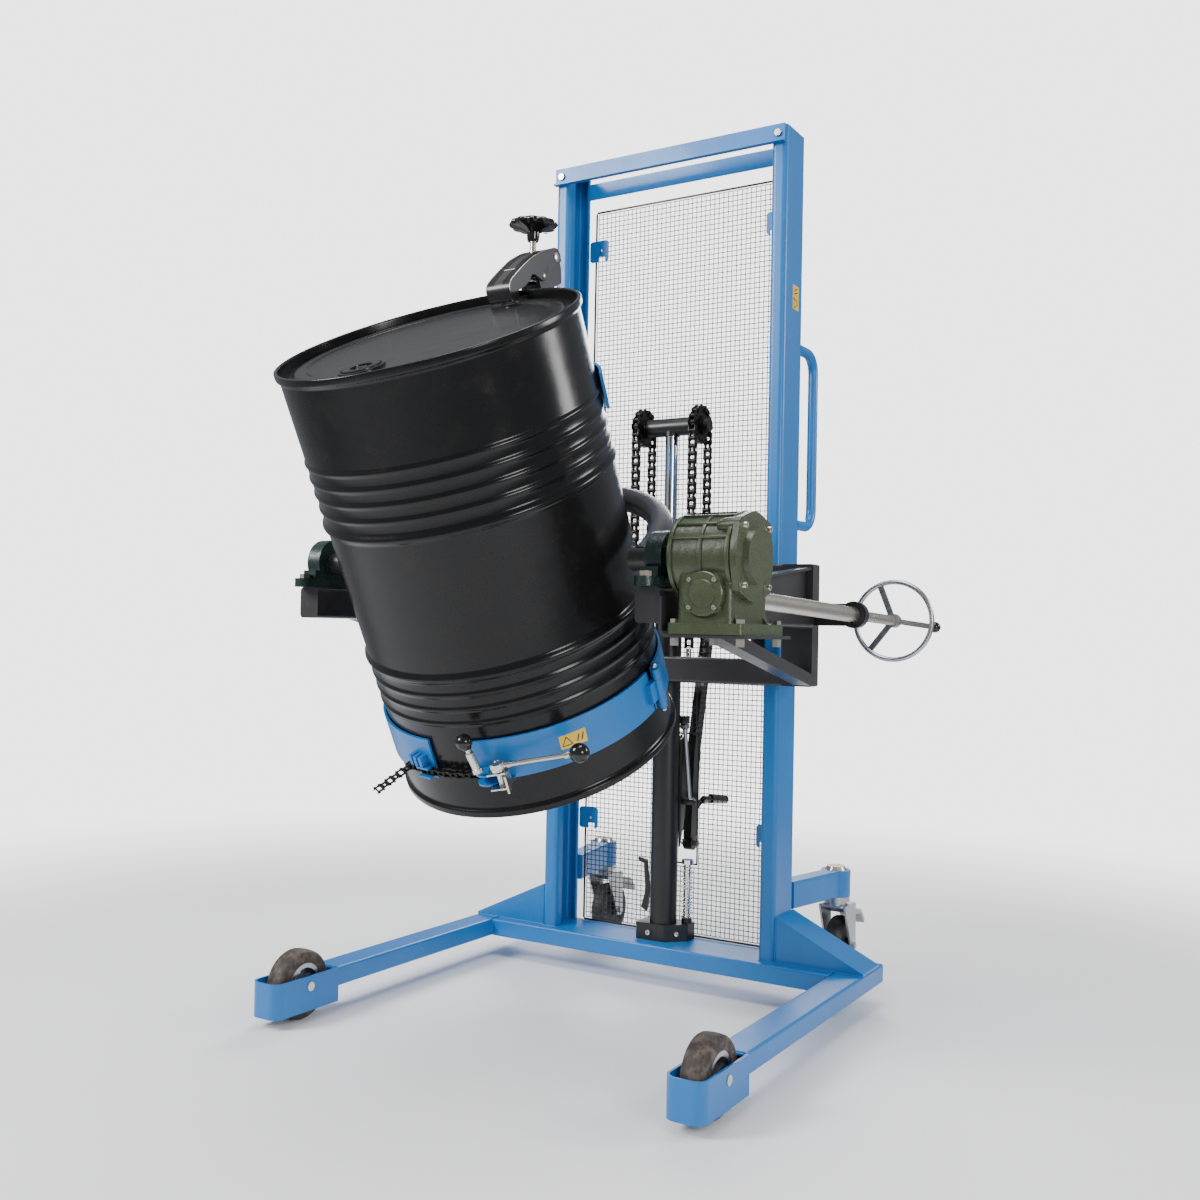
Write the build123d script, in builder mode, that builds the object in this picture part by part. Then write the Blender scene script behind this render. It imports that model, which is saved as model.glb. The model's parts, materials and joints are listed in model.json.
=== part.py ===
"""Drum lifter and tilter: straddle base, hydraulic mast, carriage with a worm-geared drum clamp."""
from build123d import *
from math import atan2, cos, hypot, radians, sin
import os

os.makedirs("parts", exist_ok=True)

# ---------------------------------------------------------------- driving sizes (mm)
# Datum while modelling: x = 0 on the mast's centre, y = 0 on its front, z = 0 on the floor.
weld_gap = 0.5

leg_width, leg_height, leg_wall = 70, 44, 4
leg_bottom = 54
leg_outer = 540
leg_front, leg_rear = -630, 150
deck = leg_bottom + leg_height

fork_wall, fork_bottom, fork_height = 5, 23, 76
fork_front, fork_back = -815, -622
front_wheel_radius, front_wheel_width = 76, 50
front_axle_y = -711
pin_radius = 10
running = 0.05

mast_width, mast_depth, mast_top = 650, 116, 2080
flange, column_wall = 40, 5
slot_front, slot_rear = 30, 99
column_x = mast_width / 2 - flange / 2

brace_rise = 107
handle_x, handle_back = 310, 228
handle_low, handle_high = 1140, 1572
handle_radius = 12.5

mesh_y, mesh_half, mesh_top, mesh_thick = 113, 270, 1997, 1.6

caster_x, caster_y = 348, 345
caster_arm_low, caster_arm_high = 204, 270
caster_wheel_radius, caster_trail, caster_axle = 72, 38, 8

cylinder_y, cylinder_radius, cylinder_bore = 60, 34, 27
cylinder_top = 1100
rod_radius = 16
crosshead_z = 1391
plunger_x, plunger_y, plunger_radius = 52, 88, 9
pump_neck, neck_height, pump_bore_depth = 13.5, 12, 50
chain_x = 80
teeth, chain_pitch = 14, 19.05
pitch_radius = chain_pitch / (2 * sin(radians(180 / teeth)))
rear_anchor_z, anchor_height, anchor_half = 772, 26, 94
tip_radius = pitch_radius + 3.6
chain_width, chain_depth = 22, 15

carriage_low, carriage_high = 752, 1033
carriage_front, carriage_back = -55, -15
beam_height = 60
cheek_in, cheek_out = 355, 430
arm_x, arm_width, arm_low, arm_high = 410, 50, 887, 952
arm_front, arm_length, arm_wall = -800, 744, 4
roller_radius, roller_y = 51, 58
upper_roller_z, lower_roller_z = 985, 805

trunnion_y, trunnion_z, trunnion_radius = -738, 1006, 22.5
tilt = 27.5
cradle_x = 20
bow_radius, bow_tube = 345, 25
pillow_x = 412

worm_x, worm_z, worm_slope = 527, 939, 1.78
shaft_radius, stub_radius = 17, 12
ring_along, wheel_along = 690, 963
handwheel_radius = 94

drum_radius, drum_height, drum_wall = 286, 880, 1.5
chime_radius, chime_width, chime_depth = 292.5, 8, 18
drum_centre = 27
band_low, band_high = drum_centre - 355, drum_centre - 270
band_in, band_thick = 288, 5
saddle_low, saddle_high = drum_centre + 225, drum_centre + 295
hinge_angle, hinge_radius = 94, 304
backbone_front = bow_radius + bow_tube + weld_gap

pieces = []


def keep(builder, label, frame=Location()):
    """Label a finished piece and set it in its place."""
    builder.part.label = label
    piece = builder.part.moved(frame)
    piece.label = label
    pieces.append(piece)


def drum_frame():
    """Origin on the trunnion line, +Z up the drum, +Y behind it."""
    lean = radians(tilt)
    return Plane(origin=(cradle_x, trunnion_y, trunnion_z), x_dir=(1, 0, 0),
                 z_dir=(0, -sin(lean), cos(lean))).location


def shaft_frame():
    """Origin on the worm, +Z along the handwheel shaft towards the operator."""
    drop = radians(worm_slope)
    return Plane(origin=(worm_x, trunnion_y, worm_z), x_dir=(1, 0, 0),
                 z_dir=(0, cos(drop), -sin(drop))).location


def polar(radius, angle):
    """A point round the drum: angle 0 is its front, 90 the gearbox side."""
    return (radius * sin(radians(angle)), -radius * cos(radians(angle)))


def band_arc(radius, thick, start, end, low, high):
    """A curved strap round the drum, from one angle to the other, in the open builder."""
    middle = (start + end) / 2
    with BuildSketch(Plane.XY.offset(low)) as strap_outline:
        with BuildLine():
            inner = ThreePointArc(polar(radius, start), polar(radius, middle), polar(radius, end))
            outer = ThreePointArc(polar(radius + thick, start), polar(radius + thick, middle),
                                  polar(radius + thick, end))
            Line(inner @ 0, outer @ 0)
            Line(inner @ 1, outer @ 1)
        make_face()
    extrude(strap_outline.sketch, amount=high - low)


# ---------------------------------------------------------------- straddle base
with BuildPart() as base_frame:
    with BuildSketch(Plane.XZ.offset(-leg_rear)):
        with GridLocations(2 * leg_outer - leg_width, 0, 2, 1):
            with Locations((0, leg_bottom + leg_height / 2)):
                RectangleRounded(leg_width, leg_height, 6)
    extrude(amount=leg_rear - leg_front)
    with BuildSketch(Plane.XZ.offset(-leg_rear + leg_wall)):
        with GridLocations(2 * leg_outer - leg_width, 0, 2, 1):
            with Locations((0, leg_bottom + leg_height / 2)):
                RectangleRounded(leg_width - 2 * leg_wall, leg_height - 2 * leg_wall, 2)
    extrude(amount=leg_rear - leg_front, mode=Mode.SUBTRACT)
    beam_half = leg_outer - leg_width - weld_gap
    beam_front, beam_rear = -22, 130
    with BuildSketch(Plane.YZ.offset(-beam_half)):
        with Locations(((beam_front + beam_rear) / 2, leg_bottom + leg_height / 2)):
            RectangleRounded(beam_rear - beam_front, leg_height, 5)
            RectangleRounded(beam_rear - beam_front - 8, leg_height - 8, 2, mode=Mode.SUBTRACT)
    extrude(amount=2 * beam_half)
keep(base_frame, "base_frame")

with BuildPart() as wheel_forks:
    fork_length = fork_back - fork_front
    with BuildSketch(Plane.XY.offset(fork_bottom)):
        with GridLocations(2 * leg_outer - leg_width, 0, 2, 1):
            with Locations((0, fork_front + fork_length / 2)):
                RectangleRounded(leg_width + 2 * fork_wall, fork_length, 24)
            with Locations((0, fork_back - 20)):
                Rectangle(leg_width + 2 * fork_wall, 40)
            with Locations((0, fork_front + fork_length / 2 + fork_wall)):
                RectangleRounded(leg_width, fork_length, 19, mode=Mode.SUBTRACT)
            with Locations((0, fork_back - 10)):
                Rectangle(leg_width, 60, mode=Mode.SUBTRACT)
    extrude(amount=fork_height)
    with BuildSketch(Plane.YZ.offset(-leg_outer - fork_wall)):
        with Locations((front_axle_y, front_wheel_radius)):
            Circle(pin_radius)
    extrude(amount=2 * leg_outer + 2 * fork_wall, mode=Mode.SUBTRACT)
keep(wheel_forks, "wheel_forks")

for side, name in ((-1, "left"), (1, "right")):
    wheel_x = side * (leg_outer - leg_width / 2)
    axle = Plane(origin=(wheel_x - front_wheel_width / 2, front_axle_y, front_wheel_radius), z_dir=(1, 0, 0))
    hub_plane = Plane(origin=(wheel_x - 28, front_axle_y, front_wheel_radius), z_dir=(1, 0, 0))
    with BuildPart() as tyre:
        with BuildSketch(axle):
            Circle(front_wheel_radius)
            Circle(48, mode=Mode.SUBTRACT)
        extrude(amount=front_wheel_width)
        fillet(tyre.edges().filter_by(GeomType.CIRCLE).group_by(SortBy.RADIUS)[-1], 7)
    keep(tyre, f"front_tyre_{name}")
    with BuildPart() as hub:
        with BuildSketch(hub_plane):
            Circle(26)
            Circle(pin_radius + running, mode=Mode.SUBTRACT)
        extrude(amount=56)
        with BuildSketch(axle.offset(2)):
            Circle(48)
            Circle(38, mode=Mode.SUBTRACT)
        extrude(amount=front_wheel_width - 4)
        with BuildSketch(axle.offset(17)):
            Circle(48)
            Circle(pin_radius + running, mode=Mode.SUBTRACT)
        extrude(amount=front_wheel_width - 34)
    keep(hub, f"front_hub_{name}")

with BuildPart() as gusset_braces:
    side_x = mast_width / 2 + weld_gap
    with BuildSketch(Plane.XZ.offset(-mast_depth)):
        with BuildLine():
            Polyline((side_x, deck), (side_x, deck + brace_rise), (leg_outer, deck + 6),
                     (leg_outer, deck), close=True)
        make_face()
    extrude(amount=mast_depth - 8)
    offset(amount=-4, openings=gusset_braces.faces().sort_by(Axis.Z)[0])
    mirror(about=Plane.YZ)
keep(gusset_braces, "gusset_braces")

# ---------------------------------------------------------------- mast
with BuildPart() as mast_columns:
    with BuildSketch(Plane.XY.offset(deck)):
        with GridLocations(2 * column_x, 0, 2, 1):
            with Locations((0, mast_depth / 2)):
                RectangleRounded(flange, mast_depth, 12)
                RectangleRounded(flange - 2 * column_wall, mast_depth - 2 * column_wall, 7, mode=Mode.SUBTRACT)
        with GridLocations(mast_width - 2 * flange + column_wall, 0, 2, 1):
            with Locations((0, (slot_front + slot_rear) / 2)):
                Rectangle(column_wall + 1, slot_rear - slot_front, mode=Mode.SUBTRACT)
    extrude(amount=mast_top - deck)
keep(mast_columns, "mast_columns")

with BuildPart() as mast_bars:
    bar_top = mast_top + 4
    with BuildSketch(Plane.YZ.offset(-mast_width / 2)):
        with BuildLine():
            Polyline((-weld_gap, bar_top), (-weld_gap, 2040), (-16, 2040), (-16, 2045), (-5.5, 2045),
                     (-5.5, bar_top), close=True)
        make_face()
    extrude(amount=mast_width - 4)
    with BuildSketch(Plane.XY.offset(mast_top + 0.2)):
        with GridLocations(2 * column_x, 0, 2, 1):
            with Locations((0, mast_depth / 2)):
                RectangleRounded(flange, mast_depth, 12)
    extrude(amount=3.8)
    rear_half = mast_width / 2 - flange - weld_gap
    with BuildSketch(Plane.XZ.offset(-104)):
        with Locations((0, 2049)):
            Rectangle(2 * rear_half, 42)
    extrude(amount=5)
    tab_width, tab_height = 56, 56
    tab_x = rear_half - tab_width / 2
    with BuildSketch(Plane.XZ.offset(-mesh_y + 0.5)):
        with GridLocations(2 * tab_x, 1516, 2, 2):
            with Locations((0, 1131)):
                RectangleRounded(tab_width, tab_height, 8)
        with GridLocations(2 * tab_x - 18, 1516, 2, 2):
            with Locations((0, 1131 - tab_height / 2)):
                Rectangle(20, 28, mode=Mode.SUBTRACT)
    extrude(amount=4)
keep(mast_bars, "mast_bars")

link_window = (10, 62, 286, 610)
with BuildPart() as guard_mesh:
    with BuildSketch(Plane.XZ.offset(-mesh_y - mesh_thick)):
        with Locations((0, (deck + 2 + mesh_top) / 2)):
            RectangleRounded(2 * mesh_half, mesh_top - deck - 2, 15)
        x0, x1, z0, z1 = link_window
        with Locations(((x0 + x1) / 2, (z0 + z1) / 2)):
            Rectangle(x1 - x0, z1 - z0, mode=Mode.SUBTRACT)
    extrude(amount=mesh_thick)
keep(guard_mesh, "guard_mesh")

with BuildPart() as push_handles:
    rear_face = mast_depth + 0.3
    with BuildLine(Plane.YZ.offset(handle_x)):
        FilletPolyline((rear_face, handle_low), (handle_back, handle_low), (handle_back, handle_high),
                       (rear_face, handle_high), radius=45)
    with BuildSketch(Plane(origin=(handle_x, rear_face, handle_low), z_dir=(0, 1, 0))):
        Circle(handle_radius)
        Circle(handle_radius - 2.5, mode=Mode.SUBTRACT)
    sweep()
    mirror(about=Plane.YZ)
keep(push_handles, "push_handles")

with BuildPart() as caster_arms:
    root_x, boss_radius = 302, 37
    splay = atan2(caster_x - root_x, caster_y - mast_depth)
    arm_mid = (caster_arm_low + caster_arm_high) / 2
    arm_plane = Plane(origin=(root_x - 3, mast_depth - 14, arm_mid), x_dir=(cos(splay), -sin(splay), 0),
                      z_dir=(sin(splay), cos(splay), 0))
    with BuildSketch(arm_plane):
        RectangleRounded(50, caster_arm_high - caster_arm_low, 6)
    extrude(amount=hypot(caster_x - root_x, caster_y - mast_depth))
    with BuildSketch(Plane.XY.offset(caster_arm_low)):
        with Locations((caster_x, caster_y)):
            Circle(boss_radius)
    extrude(amount=caster_arm_high - caster_arm_low)
    split(bisect_by=Plane.XZ.offset(-mast_depth - 0.3), keep=Keep.BOTTOM)
    mirror(about=Plane.YZ)
keep(caster_arms, "caster_arms")

# ---------------------------------------------------------------- hydraulics
block_top = 140
with BuildPart() as pump_block:
    with BuildSketch(Plane.XY.offset(deck + 0.2)):
        with BuildLine():
            Polyline((-58, 22), (22, 22), (66, 66), (66, 108), (-58, 108), close=True)
        make_face()
    extrude(amount=block_top - deck - 0.2)
    fillet(pump_block.edges().filter_by(Axis.Z), 4)
    with BuildSketch(Plane.XY.offset(block_top)):
        with Locations((plunger_x, plunger_y)):
            Circle(pump_neck)
    extrude(amount=neck_height)
    with BuildSketch(Plane.XY.offset(block_top + neck_height)):
        with Locations((plunger_x, plunger_y)):
            Circle(plunger_radius + running)
    extrude(amount=-pump_bore_depth, mode=Mode.SUBTRACT)
keep(pump_block, "pump_block")

with BuildPart() as lift_cylinder:
    with BuildSketch(Plane.XY.offset(block_top + 0.2)):
        with Locations((0, cylinder_y)):
            Circle(cylinder_radius)
            Circle(cylinder_bore, mode=Mode.SUBTRACT)
    extrude(amount=cylinder_top - block_top - 25.2)
    with BuildSketch(Plane.XY.offset(cylinder_top - 25)):
        with Locations((0, cylinder_y)):
            Circle(cylinder_radius + 4)
            Circle(rod_radius + running, mode=Mode.SUBTRACT)
    extrude(amount=25)
    anchor_front = cylinder_y + cylinder_radius - 8
    anchor_back = cylinder_y + pitch_radius + chain_depth / 2
    with BuildSketch(Plane.XY.offset(rear_anchor_z - anchor_height - 1)):
        with Locations((0, (anchor_front + anchor_back) / 2)):
            RectangleRounded(2 * anchor_half, anchor_back - anchor_front, 3)
        with Locations((0, cylinder_y)):
            Circle(cylinder_radius - 2, mode=Mode.SUBTRACT)
    extrude(amount=anchor_height)
keep(lift_cylinder, "lift_cylinder")

with BuildPart() as ram_rod:
    rod_bottom, rod_top = 560, crosshead_z - 24
    with BuildSketch(Plane.XY.offset(rod_bottom)):
        with Locations((0, cylinder_y)):
            Circle(rod_radius)
    extrude(amount=rod_top - rod_bottom)
    with BuildSketch(Plane.XY.offset(rod_bottom)):
        with Locations((0, cylinder_y)):
            Circle(cylinder_bore - running)
    extrude(amount=40)
keep(ram_rod, "ram_rod")

head_axis = Plane(origin=(0, cylinder_y, crosshead_z), z_dir=(1, 0, 0))
with BuildPart() as crosshead:
    with BuildSketch(head_axis.offset(-64)):
        Circle(23)
    extrude(amount=128)
    with BuildSketch(head_axis.offset(-106)):
        Circle(12)
    extrude(amount=212)
    for start in (-106, 94):
        with BuildSketch(head_axis.offset(start)):
            Circle(17)
        extrude(amount=12)
    with BuildSketch(Plane.XY.offset(crosshead_z - 23.9)):
        with Locations((0, cylinder_y)):
            Circle(20)
    extrude(amount=15)
keep(crosshead, "crosshead")

with BuildPart() as sprockets:
    with BuildSketch(head_axis.offset(chain_x - 5.5)):
        Circle(tip_radius)
        with PolarLocations(pitch_radius, teeth):
            Circle(6.1, mode=Mode.SUBTRACT)
        Circle(12 + running, mode=Mode.SUBTRACT)
    extrude(amount=11)
    with BuildSketch(head_axis.offset(chain_x - 14)):
        Circle(24)
        Circle(12 + running, mode=Mode.SUBTRACT)
    extrude(amount=27)
    mirror(about=Plane.YZ)
keep(sprockets, "sprockets")

strand_top = crosshead_z - tip_radius - 2
front_strand = cylinder_y - pitch_radius
rear_strand = cylinder_y + pitch_radius
front_anchor_z = 832
wrap_in, wrap_out = tip_radius + 0.6, pitch_radius + chain_depth / 2
wrap_cut = 100
with BuildPart() as lift_chains_front:
    with BuildSketch(Plane.XY.offset(front_anchor_z)):
        with GridLocations(2 * chain_x, 0, 2, 1):
            with Locations((0, front_strand)):
                Rectangle(chain_width, chain_depth)
    extrude(amount=strand_top - front_anchor_z)
    wrap_middle = (wrap_in + wrap_out) / 2
    for strand_x in (-chain_x, chain_x):
        with BuildSketch(Plane.YZ.offset(strand_x - chain_width / 2)):
            with Locations((cylinder_y, crosshead_z)):
                Circle(wrap_out)
                Circle(wrap_in, mode=Mode.SUBTRACT)
            with Locations((cylinder_y, crosshead_z - wrap_cut / 2)):
                Rectangle(2 * wrap_cut, wrap_cut, mode=Mode.SUBTRACT)
            for y in (cylinder_y - wrap_middle, cylinder_y + wrap_middle):
                with Locations((y, (strand_top + crosshead_z) / 2)):
                    Rectangle(wrap_out - wrap_in, crosshead_z - strand_top)
        extrude(amount=chain_width)
keep(lift_chains_front, "lift_chains_front")

with BuildPart() as lift_chains_rear:
    with BuildSketch(Plane.XY.offset(rear_anchor_z)):
        with GridLocations(2 * chain_x, 0, 2, 1):
            with Locations((0, rear_strand)):
                Rectangle(chain_width, chain_depth)
    extrude(amount=strand_top - 0.5 - rear_anchor_z)
keep(lift_chains_rear, "lift_chains_rear")

plunger_bottom, plunger_top, collar_radius, collar_height = 134, 298, 15, 10
with BuildPart() as pump_plunger:
    with BuildSketch(Plane.XY.offset(plunger_bottom)):
        with Locations((plunger_x, plunger_y)):
            Circle(plunger_radius)
    extrude(amount=plunger_top - plunger_bottom - 6)
    with BuildSketch(Plane.XY.offset(plunger_top - collar_height)):
        with Locations((plunger_x, plunger_y)):
            Circle(collar_radius)
    extrude(amount=collar_height)
keep(pump_plunger, "pump_plunger")

spring_bottom = block_top + neck_height + 1
with BuildPart() as plunger_spring:
    with BuildSketch(Plane.XY.offset(spring_bottom)):
        with Locations((plunger_x, plunger_y)):
            Circle(13.5)
            Circle(plunger_radius + 1.5, mode=Mode.SUBTRACT)
    extrude(amount=plunger_top - collar_height - 1 - spring_bottom)
keep(plunger_spring, "plunger_spring")

tiller_x, tiller_y, tiller_z = 26, 150, 330
tiller_pin, tiller_boss, tiller_boss_width = 8, 18, 24
grip_reach, grip_radius = 118, 9
with BuildPart() as tiller:
    with BuildLine(Plane.YZ.offset(tiller_x)):
        spine = Polyline((tiller_y, tiller_z + 14), (tiller_y + 12, 560), (tiller_y + 140, 1130))
    with BuildSketch(Plane(origin=(tiller_x, tiller_y, tiller_z + 14), z_dir=spine % 0)):
        Rectangle(34, 22)
    sweep(transition=Transition.RIGHT)
    with BuildSketch(Plane.YZ.offset(tiller_x - tiller_boss_width / 2)):
        with Locations((tiller_y, tiller_z)):
            Circle(tiller_boss)
            Circle(tiller_pin + running, mode=Mode.SUBTRACT)
    extrude(amount=tiller_boss_width)
    with BuildLine(Plane(origin=(tiller_x, tiller_y + 138, 1120), x_dir=(1, 0, 0), z_dir=(0, -0.97, 0.24))):
        loop = FilletPolyline((0, -6), (-62, 8), (-grip_reach, 70), (grip_reach, 70), (62, 8), (0, -6),
                              radius=14, close=False)
    with BuildSketch(Plane(origin=loop @ 0, z_dir=loop % 0)):
        Circle(grip_radius)
    sweep(transition=Transition.ROUND)
keep(tiller, "tiller")

with BuildPart() as foot_pedal:
    with BuildLine():
        pedal = FilletPolyline((62, 150, 446), (64, 288, 430), (-14, 292, 420), (-16, 176, 356), radius=12)
    with BuildSketch(Plane(origin=pedal @ 0, z_dir=pedal % 0)):
        Circle(7.5)
    sweep(transition=Transition.ROUND)
keep(foot_pedal, "foot_pedal")

with BuildPart() as release_lever:
    with BuildSketch(Plane.XZ.offset(-70)):
        with BuildLine():
            Polyline((-66, 168), (-50, 160), (-42, 210), (-52, 290), (-74, 296), (-78, 288), (-60, 280),
                     (-54, 212), close=True)
        make_face()
    extrude(amount=8)
keep(release_lever, "release_lever")

# ---------------------------------------------------------------- carriage
with BuildPart() as carriage_frame:
    depth = carriage_back - carriage_front
    middle = (carriage_front + carriage_back) / 2
    for low in (carriage_low, carriage_high - beam_height):
        with BuildSketch(Plane.YZ.offset(-cheek_in + weld_gap)):
            with Locations((middle, low + beam_height / 2)):
                RectangleRounded(depth, beam_height, 5)
                RectangleRounded(depth - 8, beam_height - 8, 2, mode=Mode.SUBTRACT)
        extrude(amount=2 * cheek_in - 2 * weld_gap)
    cheek_mid, cheek_wide = (cheek_in + cheek_out) / 2, cheek_out - cheek_in
    with BuildSketch(Plane.XZ.offset(-carriage_back)):
        with GridLocations(2 * cheek_mid, 0, 2, 1):
            with Locations((0, (carriage_low + carriage_high) / 2)):
                RectangleRounded(cheek_wide, carriage_high - carriage_low, 5)
    extrude(amount=depth)
    with BuildSketch(Plane.XZ.offset(-carriage_back)):
        with GridLocations(2 * cheek_mid, 0, 2, 1):
            with Locations((0, (carriage_low + carriage_high) / 2)):
                RectangleRounded(cheek_wide - 10, carriage_high - carriage_low - 10, 3)
    extrude(amount=depth - 6, mode=Mode.SUBTRACT)
    with BuildSketch(Plane.YZ.offset(260)):
        with Locations(((carriage_back + 92) / 2 + 0.25, (carriage_low + carriage_high) / 2)):
            RectangleRounded(92 - carriage_back - weld_gap, carriage_high - carriage_low, 10)
    extrude(amount=10)
    mirror(about=Plane.YZ, mode=Mode.ADD)
keep(carriage_frame, "carriage_frame")

with BuildPart() as carriage_arms:
    arm_height = arm_high - arm_low
    arm_section = Plane.XZ.offset(-arm_front - arm_length)
    with BuildSketch(arm_section):
        with GridLocations(2 * arm_x, 0, 2, 1):
            with Locations((0, (arm_low + arm_high) / 2)):
                RectangleRounded(arm_width, arm_height, 8)
    extrude(amount=arm_length)
    with BuildSketch(arm_section):
        with GridLocations(2 * arm_x, 0, 2, 1):
            with Locations((0, (arm_low + arm_high) / 2)):
                RectangleRounded(arm_width - 2 * arm_wall, arm_height - 2 * arm_wall, 4)
    extrude(amount=arm_length - arm_wall, mode=Mode.SUBTRACT)
keep(carriage_arms, "carriage_arms")

with BuildPart() as arm_braces:
    root = carriage_front - weld_gap
    with BuildSketch(Plane.YZ.offset(arm_x - 3)):
        with BuildLine():
            Polyline((root, arm_high + weld_gap), (root, carriage_high - 14), (-600, arm_high + 2),
                     (-600, arm_high + weld_gap), close=True)
        make_face()
    extrude(amount=6)
    with BuildSketch(Plane.YZ.offset(arm_x - 16)):
        with BuildLine():
            Polyline((root, carriage_high - 14), (root, carriage_high - 8), (-600, arm_high + 8),
                     (-600, arm_high + 2), close=True)
        make_face()
    extrude(amount=32)
    with BuildSketch(Plane.YZ.offset(arm_x - 20)):
        with BuildLine():
            Polyline((root, carriage_low + 2), (root, carriage_low + 30), (-530, arm_low - weld_gap),
                     (-655, arm_low - weld_gap), close=True)
        make_face()
    extrude(amount=40)
    mirror(about=Plane.YZ)
keep(arm_braces, "arm_braces")

for roller_z, name in ((upper_roller_z, "upper_rollers"), (lower_roller_z, "lower_rollers")):
    with BuildPart() as rollers:
        with BuildSketch(Plane.YZ.offset(294)):
            with Locations((roller_y, roller_z)):
                Circle(roller_radius)
        extrude(amount=19)
        with BuildSketch(Plane.YZ.offset(270.4)):
            with Locations((roller_y, roller_z)):
                Circle(14)
        extrude(amount=30)
        mirror(about=Plane.YZ)
    keep(rollers, name)

bearing = Plane(origin=(pillow_x, trunnion_y, trunnion_z), z_dir=(1, 0, 0))
with BuildPart() as pillow_blocks:
    with BuildSketch(bearing.offset(-17)):
        Circle(50)
    extrude(amount=34)
    with BuildSketch(Plane.XY.offset(arm_high + 0.2)):
        with Locations((pillow_x, trunnion_y)):
            Rectangle(34, 120)
    extrude(amount=36)
    with BuildSketch(Plane.XY.offset(arm_high + 0.2)):
        with Locations((pillow_x, trunnion_y)):
            SlotOverall(190, 40, rotation=90)
    extrude(amount=18)
    with BuildSketch(bearing.offset(-18)):
        Circle(32)
    extrude(amount=38)
    with BuildSketch(bearing.offset(-30)):
        Circle(trunnion_radius + running)
    extrude(amount=60, mode=Mode.SUBTRACT)
    mirror(about=Plane.YZ)
keep(pillow_blocks, "pillow_blocks")

shelf_right, shelf_front, shelf_rear = 602, -804, -600
shelf_mid = 865
with BuildPart() as gearbox_shelf:
    with BuildSketch(Plane.XZ.offset(-shelf_rear)):
        with BuildLine():
            FilletPolyline((arm_x + arm_width / 2 + 3.5, 935), (arm_x + arm_width / 2 + 3.5, shelf_mid),
                           (shelf_right, shelf_mid), radius=12)
        trace(line_width=6)
    extrude(amount=shelf_rear - shelf_front)
keep(gearbox_shelf, "gearbox_shelf")

case_left, case_right = 455, 578
foot_low, foot_high = shelf_mid + 3.3, shelf_mid + 23
case_front, case_back = -806, -652
foot_bolts = [(x, y) for x in (462, 589) for y in (-793, -635)]
wheel_axis = Plane(origin=(0, trunnion_y, trunnion_z), z_dir=(1, 0, 0))
with BuildPart() as gearbox_case:
    with BuildSketch(Plane.XY.offset(foot_low)):
        with Locations((525, -714)):
            RectangleRounded(146, 186, 10)
            Rectangle(90, 110, mode=Mode.SUBTRACT)
    extrude(amount=foot_high - foot_low)
    with BuildSketch(Plane.XY.offset(foot_high - 4)):
        with Locations(((case_left + case_right) / 2 + 8, (case_front + case_back) / 2)):
            RectangleRounded(case_right - case_left - 16, case_back - case_front, 14)
    extrude(amount=100)
    with BuildSketch(wheel_axis.offset(case_left)):
        Circle(74)
    extrude(amount=case_right - case_left)
    with BuildSketch(wheel_axis.offset(case_left + 16)):
        Circle(62)
    extrude(amount=case_right - case_left, mode=Mode.SUBTRACT)
    with BuildSketch(wheel_axis.offset(case_left - 1)):
        Circle(trunnion_radius + 2)
    extrude(amount=30, mode=Mode.SUBTRACT)
    with BuildSketch(Plane.XZ.offset(-case_front + 1)):
        with Locations((worm_x, worm_z)):
            Circle(30)
    extrude(amount=-(case_back - case_front) - 2, mode=Mode.SUBTRACT)
    fillet(gearbox_case.edges().filter_by(GeomType.CIRCLE).filter_by_position(
        Axis.X, case_left - 0.1, case_left + 0.1).group_by(SortBy.RADIUS)[-1], 6)
keep(gearbox_case, "gearbox_case")

with BuildPart() as gearbox_covers:
    with BuildSketch(wheel_axis.offset(case_right + 0.2)):
        Circle(80)
        with GridLocations(104, 104, 2, 2):
            Circle(15)
        make_hull()
    extrude(amount=12)
    with BuildSketch(wheel_axis.offset(case_right + 12)):
        Circle(52)
    extrude(amount=10, taper=20)
    with BuildSketch(wheel_axis.offset(case_right + 0.1)):
        Circle(34)
    extrude(amount=12, mode=Mode.SUBTRACT)
    front_face = Plane.XZ.offset(-case_front + 0.2)
    with BuildSketch(front_face):
        with Locations((worm_x, worm_z)):
            RectangleRounded(68, 68, 16)
    extrude(amount=10)
    with BuildSketch(front_face.offset(10)):
        with Locations((worm_x, worm_z)):
            Circle(22)
    extrude(amount=5, taper=15)
    with BuildSketch(Plane.XZ.offset(-case_back - 0.2)):
        with Locations((worm_x, worm_z)):
            RectangleRounded(72, 72, 16)
    extrude(amount=-10)
    with BuildSketch(Plane.XZ.offset(-case_back)):
        with Locations((worm_x, worm_z)):
            Circle(21)
    extrude(amount=-12, mode=Mode.SUBTRACT)
keep(gearbox_covers, "gearbox_covers")

with BuildPart() as shaft_support:
    with BuildSketch(Plane.XY.offset(ring_along - 11)):
        Circle(30)
        Circle(shaft_radius + running, mode=Mode.SUBTRACT)
    extrude(amount=22)
    plate_length = worm_x - cheek_out - weld_gap
    with BuildSketch(Plane.XY.offset(ring_along - 4)):
        with Locations((-plate_length / 2, 0)):
            Rectangle(plate_length, 50)
        Circle(28, mode=Mode.SUBTRACT)
    extrude(amount=8)
keep(shaft_support, "shaft_support", shaft_frame())

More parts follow.
